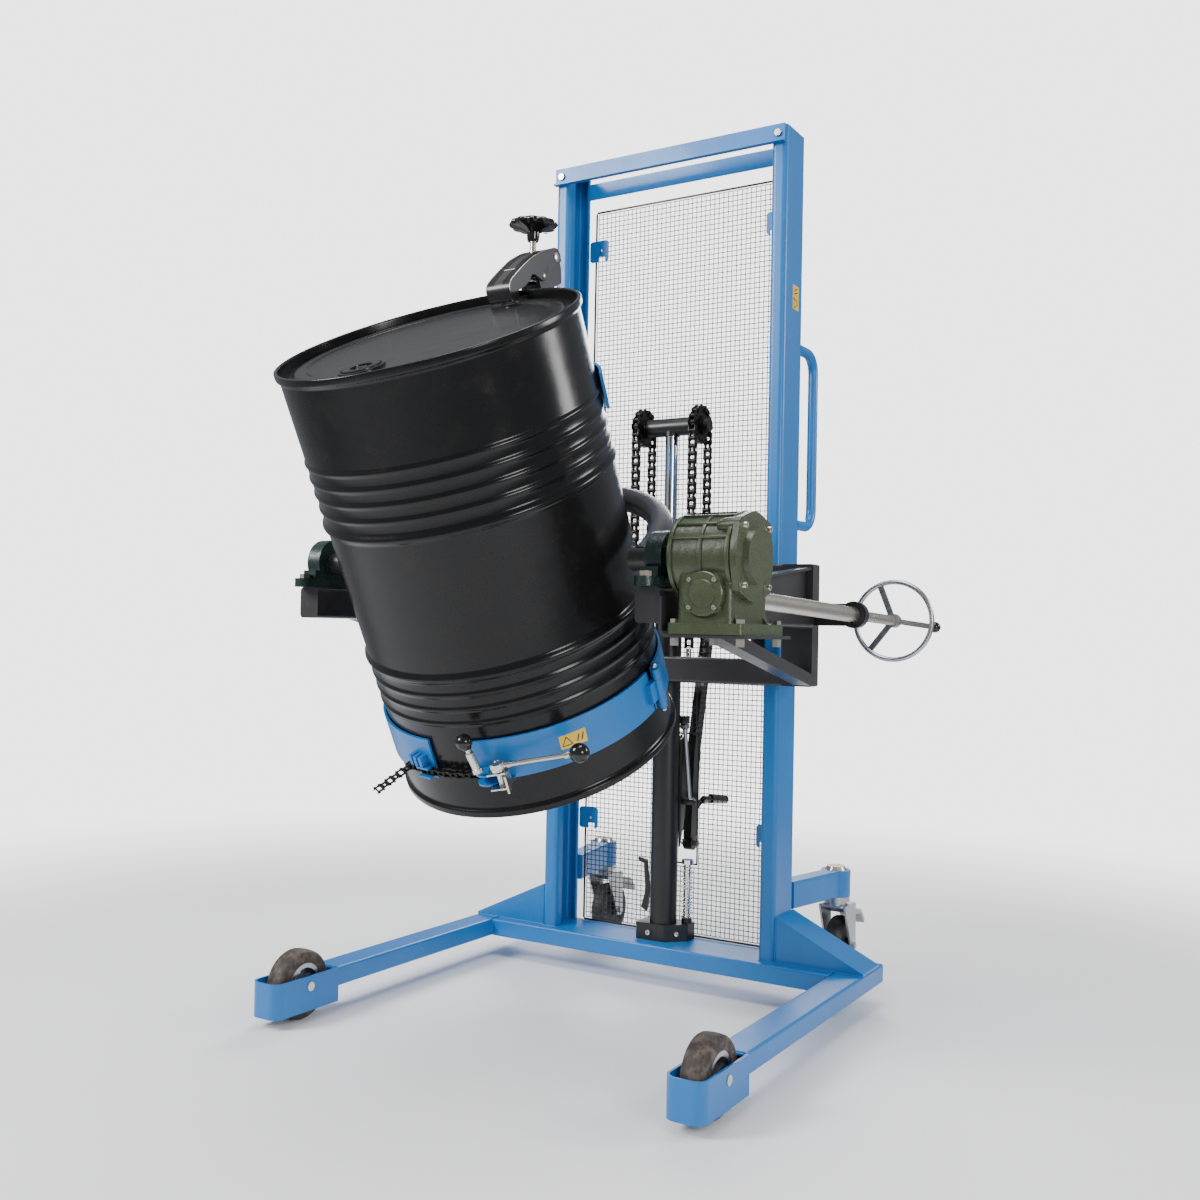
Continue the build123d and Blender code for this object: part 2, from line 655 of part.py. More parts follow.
# ---------------------------------------------------------------- handwheel drive
with BuildPart() as worm_shaft:
    with BuildSketch(Plane.XY.offset(-61)):
        Circle(stub_radius)
    extrude(amount=170)
    with BuildSketch(Plane.XY.offset(-36)):
        Circle(20)
    extrude(amount=72)
    with BuildSketch(Plane.XY.offset(104)):
        Circle(shaft_radius)
    extrude(amount=ring_along + 14 - 104)
    with BuildSketch(Plane.XY.offset(ring_along)):
        Circle(stub_radius)
    extrude(amount=wheel_along - 18.2 - ring_along)
keep(worm_shaft, "worm_shaft", shaft_frame())

spoke_first = -8
with BuildPart() as handwheel:
    with BuildSketch(Plane.XZ):
        with Locations((handwheel_radius, 0)):
            Ellipse(6, 6.5)
    revolve(axis=Axis.Z)
    with BuildSketch(Plane.XY.offset(-18)):
        Circle(17)
    extrude(amount=30)
    with BuildSketch(Plane.XY.offset(-4)):
        with PolarLocations(handwheel_radius / 2, 3, start_angle=-spoke_first):
            Rectangle(handwheel_radius - 8, 13)
    extrude(amount=8)
handwheel_place = shaft_frame() * Location((0, 0, wheel_along))
keep(handwheel, "handwheel", handwheel_place)

knob_angle = radians(-spoke_first)
with BuildPart() as crank_knob:
    with BuildSketch(Plane.XY.offset(7.2)):
        with Locations((handwheel_radius * cos(knob_angle), handwheel_radius * sin(knob_angle))):
            Circle(5)
    extrude(amount=16)
    with Locations((handwheel_radius * cos(knob_angle), handwheel_radius * sin(knob_angle), 31)):
        Sphere(13)
keep(crank_knob, "crank_knob", handwheel_place)

# ---------------------------------------------------------------- tilting cradle (drum frame)
trunnion_right, trunnion_left = 562 - cradle_x, -437 - cradle_x
with BuildPart() as yoke:
    with BuildLine():
        bow = CenterArc((0, 0), bow_radius, 0, 180)
    with BuildSketch(Plane(origin=bow @ 0, z_dir=bow % 0)):
        Circle(bow_tube)
    sweep()
    with BuildSketch(Plane.YZ.offset(bow_radius - 20)):
        Circle(trunnion_radius)
    extrude(amount=trunnion_right - bow_radius + 20)
    with BuildSketch(Plane.YZ.offset(-bow_radius + 20)):
        Circle(trunnion_radius)
    extrude(amount=trunnion_left + bow_radius - 20)
keep(yoke, "yoke", drum_frame())

with BuildPart() as worm_wheel:
    with BuildSketch(Plane.YZ.offset(worm_x - cradle_x - 18)):
        Circle(45)
        Circle(trunnion_radius + 0.02, mode=Mode.SUBTRACT)
    extrude(amount=36)
keep(worm_wheel, "worm_wheel", drum_frame())

backbone_low, backbone_high = -320, 400
with BuildPart() as backbone:
    with BuildSketch(Plane.XY.offset(backbone_low)):
        with Locations((0, backbone_front + 15)):
            RectangleRounded(60, 30, 4)
            Rectangle(52, 22, mode=Mode.SUBTRACT)
    extrude(amount=backbone_high - backbone_low)
keep(backbone, "backbone", drum_frame())

knuckle_radius, knuckle_pin = 9, 5
with BuildPart() as rear_clamps:
    band_arc(band_in, band_thick, hinge_angle + 3, 360 - hinge_angle - 3, band_low, band_high)
    band_arc(chime_radius + 1, 6, 116, 244, saddle_low, saddle_high)
    for low, high, radius in ((band_low + 8, band_high - 8, band_in + band_thick),
                              (saddle_low + 6, saddle_high - 6, chime_radius + 7)):
        reach = backbone_front - 0.3 - radius + 1
        with BuildSketch(Plane.XY.offset(low)):
            with Locations((0, radius - 1 + reach / 2)):
                Rectangle(40, reach)
        extrude(amount=high - low)
    for angle in (hinge_angle, 360 - hinge_angle):
        for low in (band_low, band_high - 22):
            with BuildSketch(Plane.XY.offset(low)):
                with Locations(polar(hinge_radius, angle)):
                    Circle(knuckle_radius)
            extrude(amount=22)
            turn = 5 if angle < 180 else -5
            band_arc(band_in + band_thick - 1, hinge_radius - band_in - band_thick, min(angle, angle + turn),
                     max(angle, angle + turn), low, low + 22)
        with BuildSketch(Plane.XY.offset(band_low - 6)):
            with Locations(polar(hinge_radius, angle)):
                Circle(knuckle_pin)
        extrude(amount=band_high - band_low + 12)
keep(rear_clamps, "rear_clamps", drum_frame())


def jaw(name, side, free_end):
    """One front strap, hinged at the drum's side: side is 1 on the gearbox side."""
    with BuildPart() as strap:
        hinge = side * hinge_angle
        ends = sorted((side * (hinge_angle - 3), free_end))
        band_arc(band_in, band_thick, *ends, band_low, band_high)
        with BuildSketch(Plane.XY.offset(band_low + 22.5)):
            with Locations(polar(hinge_radius, hinge)):
                Circle(knuckle_radius)
        extrude(amount=band_high - band_low - 45)
        leaf = sorted((hinge, side * (hinge_angle - 6)))
        band_arc(band_in + band_thick - 1, hinge_radius - band_in - band_thick, *leaf, band_low + 22.5,
                 band_high - 22.5)
        with BuildSketch(Plane.XY.offset(band_low + 22)):
            with Locations(polar(hinge_radius, hinge)):
                Circle(knuckle_pin + running)
        extrude(amount=band_high - band_low - 44, mode=Mode.SUBTRACT)
        if side > 0:
            for low in (band_low + 6, band_low + 26):
                with BuildSketch(Plane.XY.offset(low)):
                    with Locations(polar(band_in + 14, free_end + 5)):
                        Circle(24)
                    Circle(band_in + 2, mode=Mode.SUBTRACT)
                extrude(amount=4)
        else:
            for low in (band_low + 6, band_low + 26):
                band_arc(band_in + band_thick - 1, 18, free_end - 7, free_end - 1, low, low + 4)
    keep(strap, name, drum_frame())


left_end, right_end = -7, 12
jaw("clamp_jaw_left", -1, left_end)
jaw("clamp_jaw_right", 1, right_end)

chain_level = band_low + 18
with BuildPart() as tension_chain:
    band_arc(band_in + band_thick + 1, 9, left_end - 12, right_end - 1.5, chain_level - 5, chain_level + 5)
    tail_start = polar(band_in + band_thick + 6, left_end - 12.6)
    with BuildLine():
        tail = Line((tail_start[0], tail_start[1], chain_level),
                    (tail_start[0] - 88, tail_start[1] - 30, chain_level - 50))
    with BuildSketch(Plane(origin=tail @ 0, z_dir=tail % 0)):
        Circle(5.5)
    sweep()
keep(tension_chain, "tension_chain", drum_frame())

ratchet_angle, ratchet_radius = 22, 322
ratchet_at = polar(ratchet_radius, ratchet_angle)
with BuildPart() as ratchet_bracket:
    for low in (band_low + 2, band_low + 34):
        with BuildSketch(Plane.XY.offset(low)):
            with Locations(Location((*polar((ratchet_radius + band_in) / 2, ratchet_angle), 0),
                                    (0, 0, ratchet_angle))):
                Rectangle(40, ratchet_radius - band_in + 30)
            Circle(band_in + band_thick + 0.3, mode=Mode.SUBTRACT)
        extrude(amount=3)
    with BuildSketch(Plane.XY.offset(band_low + 2)):
        with Locations(Location((*polar(ratchet_radius + 14, ratchet_angle), 0), (0, 0, ratchet_angle))):
            with Locations((18, 0)):
                Rectangle(4, 34)
    extrude(amount=35)
    with BuildSketch(Plane.XY.offset(band_low - 4)):
        with Locations(ratchet_at):
            Circle(6)
    extrude(amount=56)
keep(ratchet_bracket, "ratchet_bracket", drum_frame())

lever_level = band_low + 46
with BuildPart() as ratchet_lever:
    lever_turn = Location((*ratchet_at, lever_level), (0, 0, ratchet_angle + 2))
    with BuildSketch(Plane.XY):
        Circle(14)
        Circle(6 + running, mode=Mode.SUBTRACT)
    extrude(amount=8, both=True)
    with BuildSketch(Plane.YZ.offset(12.5)):
        Circle(5)
    extrude(amount=140)
    with Locations((158, 0, 0)):
        Sphere(19)
keep(ratchet_lever, "ratchet_lever", drum_frame() * lever_turn)

pawl_angle = 15.5
pawl_at = polar(ratchet_radius + 6, pawl_angle)
with BuildPart() as pawl_lever:
    with BuildSketch(Plane.XY):
        Circle(8)
    extrude(amount=46)
    with BuildSketch(Plane.XY.offset(-3)):
        Circle(10)
    extrude(amount=8)
    with Locations((0, 0, 60)):
        Sphere(16)
pawl_frame = drum_frame() * Location((*pawl_at, band_low + 44), (0, -12, 0))
keep(pawl_lever, "pawl_lever", pawl_frame)


def drum_half_profile():
    """The outline of the drum's wall, from the axis at the bottom to the axis at the top."""
    top, bottom = drum_centre + drum_height / 2, drum_centre - drum_height / 2
    swells = [(-235, 3), (-205, 3), (-175, 3), (-140, 6), (140, 6), (175, 3), (205, 3), (235, 3), (265, 3)]
    points = [(0, bottom + chime_depth), (chime_radius - chime_width, bottom + chime_depth),
              (chime_radius - chime_width, bottom), (chime_radius, bottom), (chime_radius, bottom + 14),
              (drum_radius, bottom + 22)]
    for height, proud in swells:
        half = 9 + proud
        z = drum_centre + height
        points += [(drum_radius, z - half), (drum_radius + proud, z - half / 3),
                   (drum_radius + proud, z + half / 3), (drum_radius, z + half)]
    points += [(drum_radius, top - 22), (chime_radius, top - 14), (chime_radius, top),
               (chime_radius - chime_width, top), (chime_radius - chime_width, top - chime_depth),
               (0, top - chime_depth)]
    return points


with BuildPart() as drum_shell:
    with BuildSketch(Plane.XZ):
        with BuildLine():
            Polyline(*drum_half_profile(), close=True)
        make_face()
    revolve(axis=Axis.Z)
    inner_radius = drum_radius - drum_wall
    inner_low = drum_centre - drum_height / 2 + chime_depth + drum_wall
    inner_high = drum_centre + drum_height / 2 - chime_depth - drum_wall
    with BuildSketch(Plane.XY.offset(inner_low)):
        Circle(inner_radius)
    extrude(amount=inner_high - inner_low, mode=Mode.SUBTRACT)
    lid_z = drum_centre + drum_height / 2 - chime_depth
    for angle, spread, size in ((-6, 184, 37), (170, 244, 22)):
        with BuildSketch(Plane.XY.offset(lid_z + 0.2)):
            with Locations(polar(spread, angle)):
                Circle(size)
        extrude(amount=8, taper=12)
keep(drum_shell, "drum_shell", drum_frame())

# ---------------------------------------------------------------- rim hook (drum frame)
hook_pin_y, hook_pin_z = 452, 496
bolt_pin_y, bolt_pin_z = 388, 472
hook_pin, bolt_pin, bolt_radius = 8, 5, 6
with BuildPart() as hook_post:
    with BuildSketch(Plane.XY.offset(250)):
        with Locations((0, backbone_front + 15)):
            Rectangle(48, 18)
    extrude(amount=bolt_pin_z - 262)
    for x in (-24, 17):
        with BuildSketch(Plane.YZ.offset(x)):
            with BuildLine():
                Polyline((backbone_front + 4, 440), (hook_pin_y + 4, 440), (hook_pin_y + 16, 470),
                         (hook_pin_y + 16, hook_pin_z + 14), (hook_pin_y - 18, hook_pin_z + 14),
                         (bolt_pin_y - 14, bolt_pin_z + 12), (bolt_pin_y - 14, 440), close=True)
            make_face()
        extrude(amount=7)
    for y, z, radius in ((hook_pin_y, hook_pin_z, hook_pin), (bolt_pin_y, bolt_pin_z, bolt_pin)):
        with BuildSketch(Plane.YZ.offset(-27)):
            with Locations((y, z)):
                Circle(radius)
        extrude(amount=54)
keep(hook_post, "hook_post", drum_frame())

rim_top = drum_centre + drum_height / 2
with BuildPart() as hook_arm:
    with BuildSketch(Plane.YZ.offset(-16)):
        with BuildLine():
            Polyline((hook_pin_y + 16, hook_pin_z - 10), (hook_pin_y + 16, hook_pin_z + 10),
                     (hook_pin_y + 4, hook_pin_z + 17), (360, 512), (300, 504), (262, 492),
                     (254, 478), (258, rim_top - 11), (282, rim_top - 11), (282, rim_top + 1.5),
                     (330, rim_top + 3), (350, 489), (400, 493), (hook_pin_y - 6, hook_pin_z - 15), close=True)
        make_face()
    extrude(amount=32)
    with BuildSketch(Plane.XY.offset(400)):
        with Locations((0, 396)):
            SlotOverall(66, 17, rotation=90)
    extrude(amount=160, mode=Mode.SUBTRACT)
    with BuildSketch(Plane.YZ.offset(-20)):
        with Locations((hook_pin_y, hook_pin_z)):
            Circle(hook_pin + running)
    extrude(amount=40, mode=Mode.SUBTRACT)
keep(hook_arm, "hook_arm", drum_frame())

bolt_frame = drum_frame() * Location((0, bolt_pin_y, bolt_pin_z), (-tilt, 0, 0))
star_height = 103
with BuildPart() as swing_bolt:
    with BuildSketch(Plane.YZ.offset(-7)):
        Circle(11)
        Circle(bolt_pin + running, mode=Mode.SUBTRACT)
    extrude(amount=14)
    with BuildSketch(Plane.XY.offset(9)):
        Circle(bolt_radius)
    extrude(amount=star_height - 9 + 18)
keep(swing_bolt, "swing_bolt", bolt_frame)

with BuildPart() as star_nut:
    with BuildSketch(Plane.XY.offset(star_height - 10)):
        Circle(44)
        with PolarLocations(44, 9):
            Circle(8.5)
        with PolarLocations(51, 9, start_angle=20):
            Circle(7, mode=Mode.SUBTRACT)
    extrude(amount=20)
    with BuildSketch(Plane.XY.offset(star_height - 34)):
        Circle(13)
    extrude(amount=50)
    with BuildSketch(Plane.XY.offset(star_height - 40)):
        Circle(bolt_radius + running)
    extrude(amount=80, mode=Mode.SUBTRACT)
keep(star_nut, "star_nut", bolt_frame)

# ---------------------------------------------------------------- braked casters
for side, name in ((-1, "left"), (1, "right")):
    pivot_x = side * caster_x
    axle_y, axle_z = caster_y + caster_trail, caster_wheel_radius
    with BuildPart() as fork:
        with BuildSketch(Plane.XY.offset(caster_arm_low - 12.5)):
            with Locations((pivot_x, caster_y)):
                Circle(36)
        extrude(amount=12)
        with BuildSketch(Plane.XY.offset(caster_arm_low - 22.5)):
            with Locations((pivot_x, caster_y)):
                Circle(28)
        extrude(amount=12)
        with BuildSketch(Plane.XY.offset(caster_arm_low - 28)):
            with Locations((pivot_x, caster_y + 14)):
                RectangleRounded(72, 84, 20)
        extrude(amount=6)
        for x in (-36, 31):
            with BuildSketch(Plane.YZ.offset(pivot_x + x)):
                with BuildLine():
                    Polyline((caster_y - 26, caster_arm_low - 23), (caster_y + 52, caster_arm_low - 23),
                             (axle_y + 18, axle_z - 8), (axle_y + 8, axle_z - 16), (axle_y - 10, axle_z - 14),
                             close=True)
                make_face()
            extrude(amount=5)
        with BuildSketch(Plane.YZ.offset(pivot_x - 42)):
            with Locations((axle_y, axle_z)):
                Circle(caster_axle)
        extrude(amount=84)
    keep(fork, f"caster_fork_{name}")
    with BuildPart() as wheel:
        with BuildSketch(Plane.YZ.offset(pivot_x - 20)):
            with Locations((axle_y, axle_z)):
                Circle(caster_wheel_radius)
                Circle(50, mode=Mode.SUBTRACT)
        extrude(amount=40)
        fillet(wheel.edges().filter_by(GeomType.CIRCLE).group_by(SortBy.RADIUS)[-1], 10)
        with BuildSketch(Plane.YZ.offset(pivot_x - 16)):
            with Locations((axle_y, axle_z)):
                Circle(49.8)
                Circle(caster_axle + running, mode=Mode.SUBTRACT)
        extrude(amount=32)
        with BuildSketch(Plane.YZ.offset(pivot_x - 28)):
            with Locations((axle_y, axle_z)):
                Circle(18)
                Circle(caster_axle + running, mode=Mode.SUBTRACT)
        extrude(amount=56)
    keep(wheel, f"caster_wheel_{name}")
    with BuildPart() as pedal:
        with BuildSketch(Plane.YZ.offset(pivot_x - 30)):
            with BuildLine():
                Polyline((caster_y + 40, 152), (caster_y + 42, 165), (caster_y + 112, 152),
                         (caster_y + 142, 118), (caster_y + 134, 112), (caster_y + 108, 140), close=True)
            make_face()
        extrude(amount=60)
    keep(pedal, f"caster_pedal_{name}")

# ---------------------------------------------------------------- fasteners, by body
with BuildPart() as chassis_fasteners:
    with BuildSketch(Plane.YZ.offset(leg_outer - leg_width - fork_wall - 2)):
        with Locations((front_axle_y, front_wheel_radius)):
            Circle(pin_radius - 0.02)
    extrude(amount=leg_width + 2 * fork_wall + 4)
    with BuildSketch(Plane.XY.offset(caster_arm_high + 0.2)):
        with Locations((caster_x, caster_y)):
            Circle(27)
    extrude(amount=9, taper=25)
    with BuildSketch(Plane.XZ.offset(5.7)):
        with Locations((column_x, 2062)):
            RegularPolygon(9, 6)
    extrude(amount=6)
    with BuildSketch(Plane.XY.offset(rear_anchor_z - anchor_height - 1.5)):
        with Locations((chain_x, rear_strand)):
            RegularPolygon(6.5, 6)
    extrude(amount=-8)
    mirror(about=Plane.YZ)
    with BuildSketch(Plane.YZ.offset(tiller_x - tiller_boss_width / 2 - 10)):
        with Locations((tiller_y, tiller_z)):
            Circle(tiller_pin)
    extrude(amount=tiller_boss_width + 20)
keep(chassis_fasteners, "chassis_fasteners")

with BuildPart() as carriage_fasteners:
    with BuildSketch(Plane.XY.offset(arm_high + 18.6)):
        with GridLocations(2 * pillow_x, 146, 2, 2):
            with Locations((0, trunnion_y)):
                RegularPolygon(12, 6)
    extrude(amount=9)
    with BuildSketch(Plane.XY.offset(foot_high + 0.2)):
        with Locations(*foot_bolts):
            RegularPolygon(8.5, 6)
    extrude(amount=7)
    with BuildSketch(Plane.XY.offset(shelf_mid - 3.3)):
        with Locations(*foot_bolts):
            RegularPolygon(8.5, 6)
    extrude(amount=-14)
    with BuildSketch(Plane.XZ.offset(-carriage_back - 0.3)):
        with Locations((-chain_x, front_anchor_z - 34), (chain_x, front_anchor_z - 34)):
            Rectangle(24, 24)
    extrude(amount=-40)
    with BuildSketch(Plane.XY.offset(front_anchor_z - 22)):
        with Locations((-chain_x, front_strand), (chain_x, front_strand)):
            Circle(7)
    extrude(amount=21.5)
keep(carriage_fasteners, "carriage_fasteners")

# ---------------------------------------------------------------- origin and export
whole = Compound(children=[copy_piece.moved(Location()) for copy_piece in pieces]).bounding_box()
origin = Location((-(whole.min.X + whole.max.X) / 2, -(whole.min.Y + whole.max.Y) / 2, 0))
print("origin shift", origin.position, "size", whole.size, "floor", whole.min.Z)
for piece in pieces:
    placed = piece.moved(origin)
    placed.label = piece.label
    export_step(placed, f"parts/{piece.label}.step")
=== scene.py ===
"""Drum lifter and tilter: finishes, woven guard, roller chains, drum, wheels and small fittings."""
import json
import math

import bmesh
import bpy
from bpy.props import FloatProperty, FloatVectorProperty, IntProperty, PointerProperty
from mathutils import Matrix, Vector


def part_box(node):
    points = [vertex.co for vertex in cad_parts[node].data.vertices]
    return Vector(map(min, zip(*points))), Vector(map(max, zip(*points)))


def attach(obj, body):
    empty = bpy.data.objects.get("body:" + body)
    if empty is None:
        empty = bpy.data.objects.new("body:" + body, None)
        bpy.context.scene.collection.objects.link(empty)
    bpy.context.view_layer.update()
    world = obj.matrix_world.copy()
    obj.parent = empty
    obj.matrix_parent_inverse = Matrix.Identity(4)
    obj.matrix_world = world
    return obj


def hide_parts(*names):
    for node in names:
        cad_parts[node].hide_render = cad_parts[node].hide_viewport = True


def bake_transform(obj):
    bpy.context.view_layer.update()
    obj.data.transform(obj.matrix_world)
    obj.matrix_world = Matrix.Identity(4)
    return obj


bl_info = {
    "name": "Drum lifter and tilter",
    "version": (1, 0, 0),
    "blender": (4, 5, 0),
    "location": "3D View > Sidebar > Drum Lifter",
    "description": "Builds the finishes, chains, guard, drum and fittings round the lifter's frame",
    "category": "Object",
}

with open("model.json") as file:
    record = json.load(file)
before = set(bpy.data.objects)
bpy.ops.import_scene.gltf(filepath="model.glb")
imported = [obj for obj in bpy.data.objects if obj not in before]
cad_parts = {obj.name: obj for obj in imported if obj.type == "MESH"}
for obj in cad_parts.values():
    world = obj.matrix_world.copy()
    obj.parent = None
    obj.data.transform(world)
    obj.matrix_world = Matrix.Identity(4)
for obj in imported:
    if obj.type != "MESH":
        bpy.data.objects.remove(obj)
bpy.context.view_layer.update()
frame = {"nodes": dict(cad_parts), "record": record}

# ---------------------------------------------------------------- places
# Lengths are millimetres from the mast: x from its centre, y from its front, z from the floor.
MM = 0.001
columns_low, columns_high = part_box("mast_columns")
DATUM = Vector(((columns_low.x + columns_high.x) / 2, columns_low.y, 0.0))
MAST_DEPTH = (columns_high.y - columns_low.y) / MM
MAST_HALF = (columns_high.x - columns_low.x) / 2 / MM
FLANGE = 40.0

DRUM_X, TRUNNION_Y, TRUNNION_Z = 20.0, -738.0, 1006.0
DRUM_TILT = 27.5
DRUM_CENTRE, DRUM_HEIGHT = 27.0, 880.0
BODY_RADIUS, CHIME_RADIUS = 286.0, 292.5
BAND_LOW, BAND_HIGH, BAND_OUT = -328.0, -243.0, 293.0
LID_DEPTH = 18.0
STRAP_HINGE = 94.0

WORM_X, WORM_Z = 527.0, 939.0
CASE_LEFT, CASE_RIGHT, CASE_FRONT, CASE_BACK = 455.0, 578.0, -806.0, -652.0
FOOT_TOP = 888.0
LUG_OUT, CAP_SCREW_OUT = 52.0, 24.0

CHAIN_X, CHAIN_Y = 80.0, 60.0
HEAD_Z = 1391.0
FRONT_ANCHOR_Z, REAR_ANCHOR_Z = 832.0, 772.0
TEETH = 14
SMALL_CHAIN = 0.667

GUARD_Y, GUARD_HALF, GUARD_LOW, GUARD_HIGH = 113.8, 270.0, 100.0, 1997.0
GUARD_TAB_X, GUARD_TAB_HEIGHTS = 250.0, (373.0, 1889.0)
LINK_WINDOW = (10.0, 62.0, 286.0, 610.0)
PLUNGER = (52.0, 88.0)
BOLT_PIN = (0.0, 388.0, 472.0)
STAR_HEIGHT = 103.0
FRONT_WHEEL = (505.0, -711.0, 76.0)
CASTER = (348.0, 345.0, 72.0)
CASTER_TRAIL = 38.0
FLOOR_HALF = 14000.0
LAMP_AIM = (0.0, -350.0, 950.0)
LAMPS = (
    ("key", (-2300, -3300, 3000), 1.6, 190.0),
    ("fill", (3400, -2300, 1500), 1.2, 52.0),
    ("side", (3200, 1600, 2400), 1.2, 60.0),
    ("back", (-1500, 3300, 2600), 2.0, 110.0),
    ("top", (200, -900, 4200), 2.4, 120.0),
)
CAMERA_PLACE, CAMERA_TURNS = (1500.2, -2782.1, 871.7), (31.977, -0.818, -1.105)
CAMERA_LENS, CAMERA_SENSOR, CAMERA_SHIFT = 37.95, 36.0, (0.0192, 0.0100)


def local(origin=(0, 0, 0), turn=0.0, axis="X"):
    """The matrix that takes millimetres at a place on the machine into the frame's metres."""
    place = Matrix.Translation(DATUM + Vector(origin) * MM)
    return place @ Matrix.Rotation(math.radians(turn), 4, axis) @ Matrix.Scale(MM, 4)


ON_MACHINE = local()
ON_DRUM = local((DRUM_X, TRUNNION_Y, TRUNNION_Z), DRUM_TILT)
ON_WHEEL_AXIS = local((0, TRUNNION_Y, TRUNNION_Z))
ALONG_X = Matrix.Rotation(math.radians(90), 4, "Y")
ALONG_MINUS_Y = Matrix.Rotation(math.radians(90), 4, "X")
# Stands an outline of (y, z) up, with its thickness along x.
ALONG_PIN = Matrix(((0, 0, 1, 0), (1, 0, 0, 0), (0, 1, 0, 0), (0, 0, 0, 1)))
TO_METRES = Matrix.Scale(MM, 4)

# The first operator fills these: finishes by slot, node trees, and the shapes that the trees repeat.
finishes, trees, heads = {}, {}, {}


# ---------------------------------------------------------------- settings
class FinishSettings(bpy.types.PropertyGroup):
    """Colours of the painted and plated parts."""

    blue: FloatVectorProperty(name="Blue", description="Enamel on the base, mast and clamp",
                              subtype="COLOR", size=3, min=0, max=1, default=(0.004, 0.150, 0.45))
    grey: FloatVectorProperty(name="Dark grey", description="Enamel on the carriage and cradle",
                              subtype="COLOR", size=3, min=0, max=1, default=(0.028, 0.027, 0.029))
    green: FloatVectorProperty(name="Casting green", description="Paint on the gearbox",
                               subtype="COLOR", size=3, min=0, max=1, default=(0.050, 0.066, 0.030))


class GuardSettings(bpy.types.PropertyGroup):
    """Sizes of the woven wire guard."""

    pitch: FloatProperty(name="Pitch", description="Distance from wire to wire", unit="LENGTH",
                         min=0.004, default=12.7 * MM)
    gauge: FloatProperty(name="Wire", description="Thickness of one wire", unit="LENGTH",
                         min=0.0005, default=1.9 * MM)


class ChainSettings(bpy.types.PropertyGroup):
    """Sizes of the lift chains."""

    pitch: FloatProperty(name="Pitch", description="Distance from pin to pin", unit="LENGTH",
                         min=0.005, default=19.05 * MM)
    width: FloatProperty(name="Width", description="Width over the pins", unit="LENGTH",
                         min=0.005, default=21.6 * MM)


class DrumSettings(bpy.types.PropertyGroup):
    """Shape of the steel drum's surface."""

    hoop: FloatProperty(name="Hoop height", description="How far the two rolling hoops stand out",
                        unit="LENGTH", min=0, default=6.5 * MM)
    bead: FloatProperty(name="Bead height", description="How far each small bead stands out",
                        unit="LENGTH", min=0, default=3.0 * MM)
    steps: IntProperty(name="Steps", description="Facets round the drum", min=32, max=256, default=144)


# ---------------------------------------------------------------- node graphs
def maths(operation, reflected=False):
    """An operator of Value: it adds one Math node."""

    def apply(self, other):
        first, second = (other, self) if reflected else (self, other)
        made = self.graph.node("ShaderNodeMath", {"operation": operation}, {0: first, 1: second})
        return Value(self.graph, made.outputs[0])

    return apply


class Value:
    """A number socket in a graph, so that sums of sockets read as sums."""

    def __init__(self, graph, socket):
        self.graph, self.socket = graph, socket

    __add__, __radd__ = maths("ADD"), maths("ADD", True)
    __sub__, __rsub__ = maths("SUBTRACT"), maths("SUBTRACT", True)
    __mul__, __rmul__ = maths("MULTIPLY"), maths("MULTIPLY", True)
    __truediv__, __rtruediv__ = maths("DIVIDE"), maths("DIVIDE", True)
    __mod__, __rmod__ = maths("MODULO"), maths("MODULO", True)


class Graph:
    """A node tree, filled one node at a time."""

    def __init__(self, tree):
        self.tree = tree

    def node(self, kind, settings=None, sockets=None):
        """A new node: its settings first, then the values or links of its sockets."""
        made = self.tree.nodes.new(kind)
        for name, value in (settings or {}).items():
            setattr(made, name, value)
        for name, value in (sockets or {}).items():
            self.feed(made.inputs[name], value)
        return made

    def feed(self, socket, value):
        """Link a socket to another node's output, or give it a value."""
        if isinstance(value, Value):
            value = value.socket
        if isinstance(value, bpy.types.Node):
            value = value.outputs[0]
        if isinstance(value, bpy.types.NodeSocket):
            self.tree.links.new(value, socket)
        else:
            socket.default_value = value

    def value(self, node, output=0):
        """One of a node's outputs, ready for sums."""
        return Value(self, node.outputs[output])


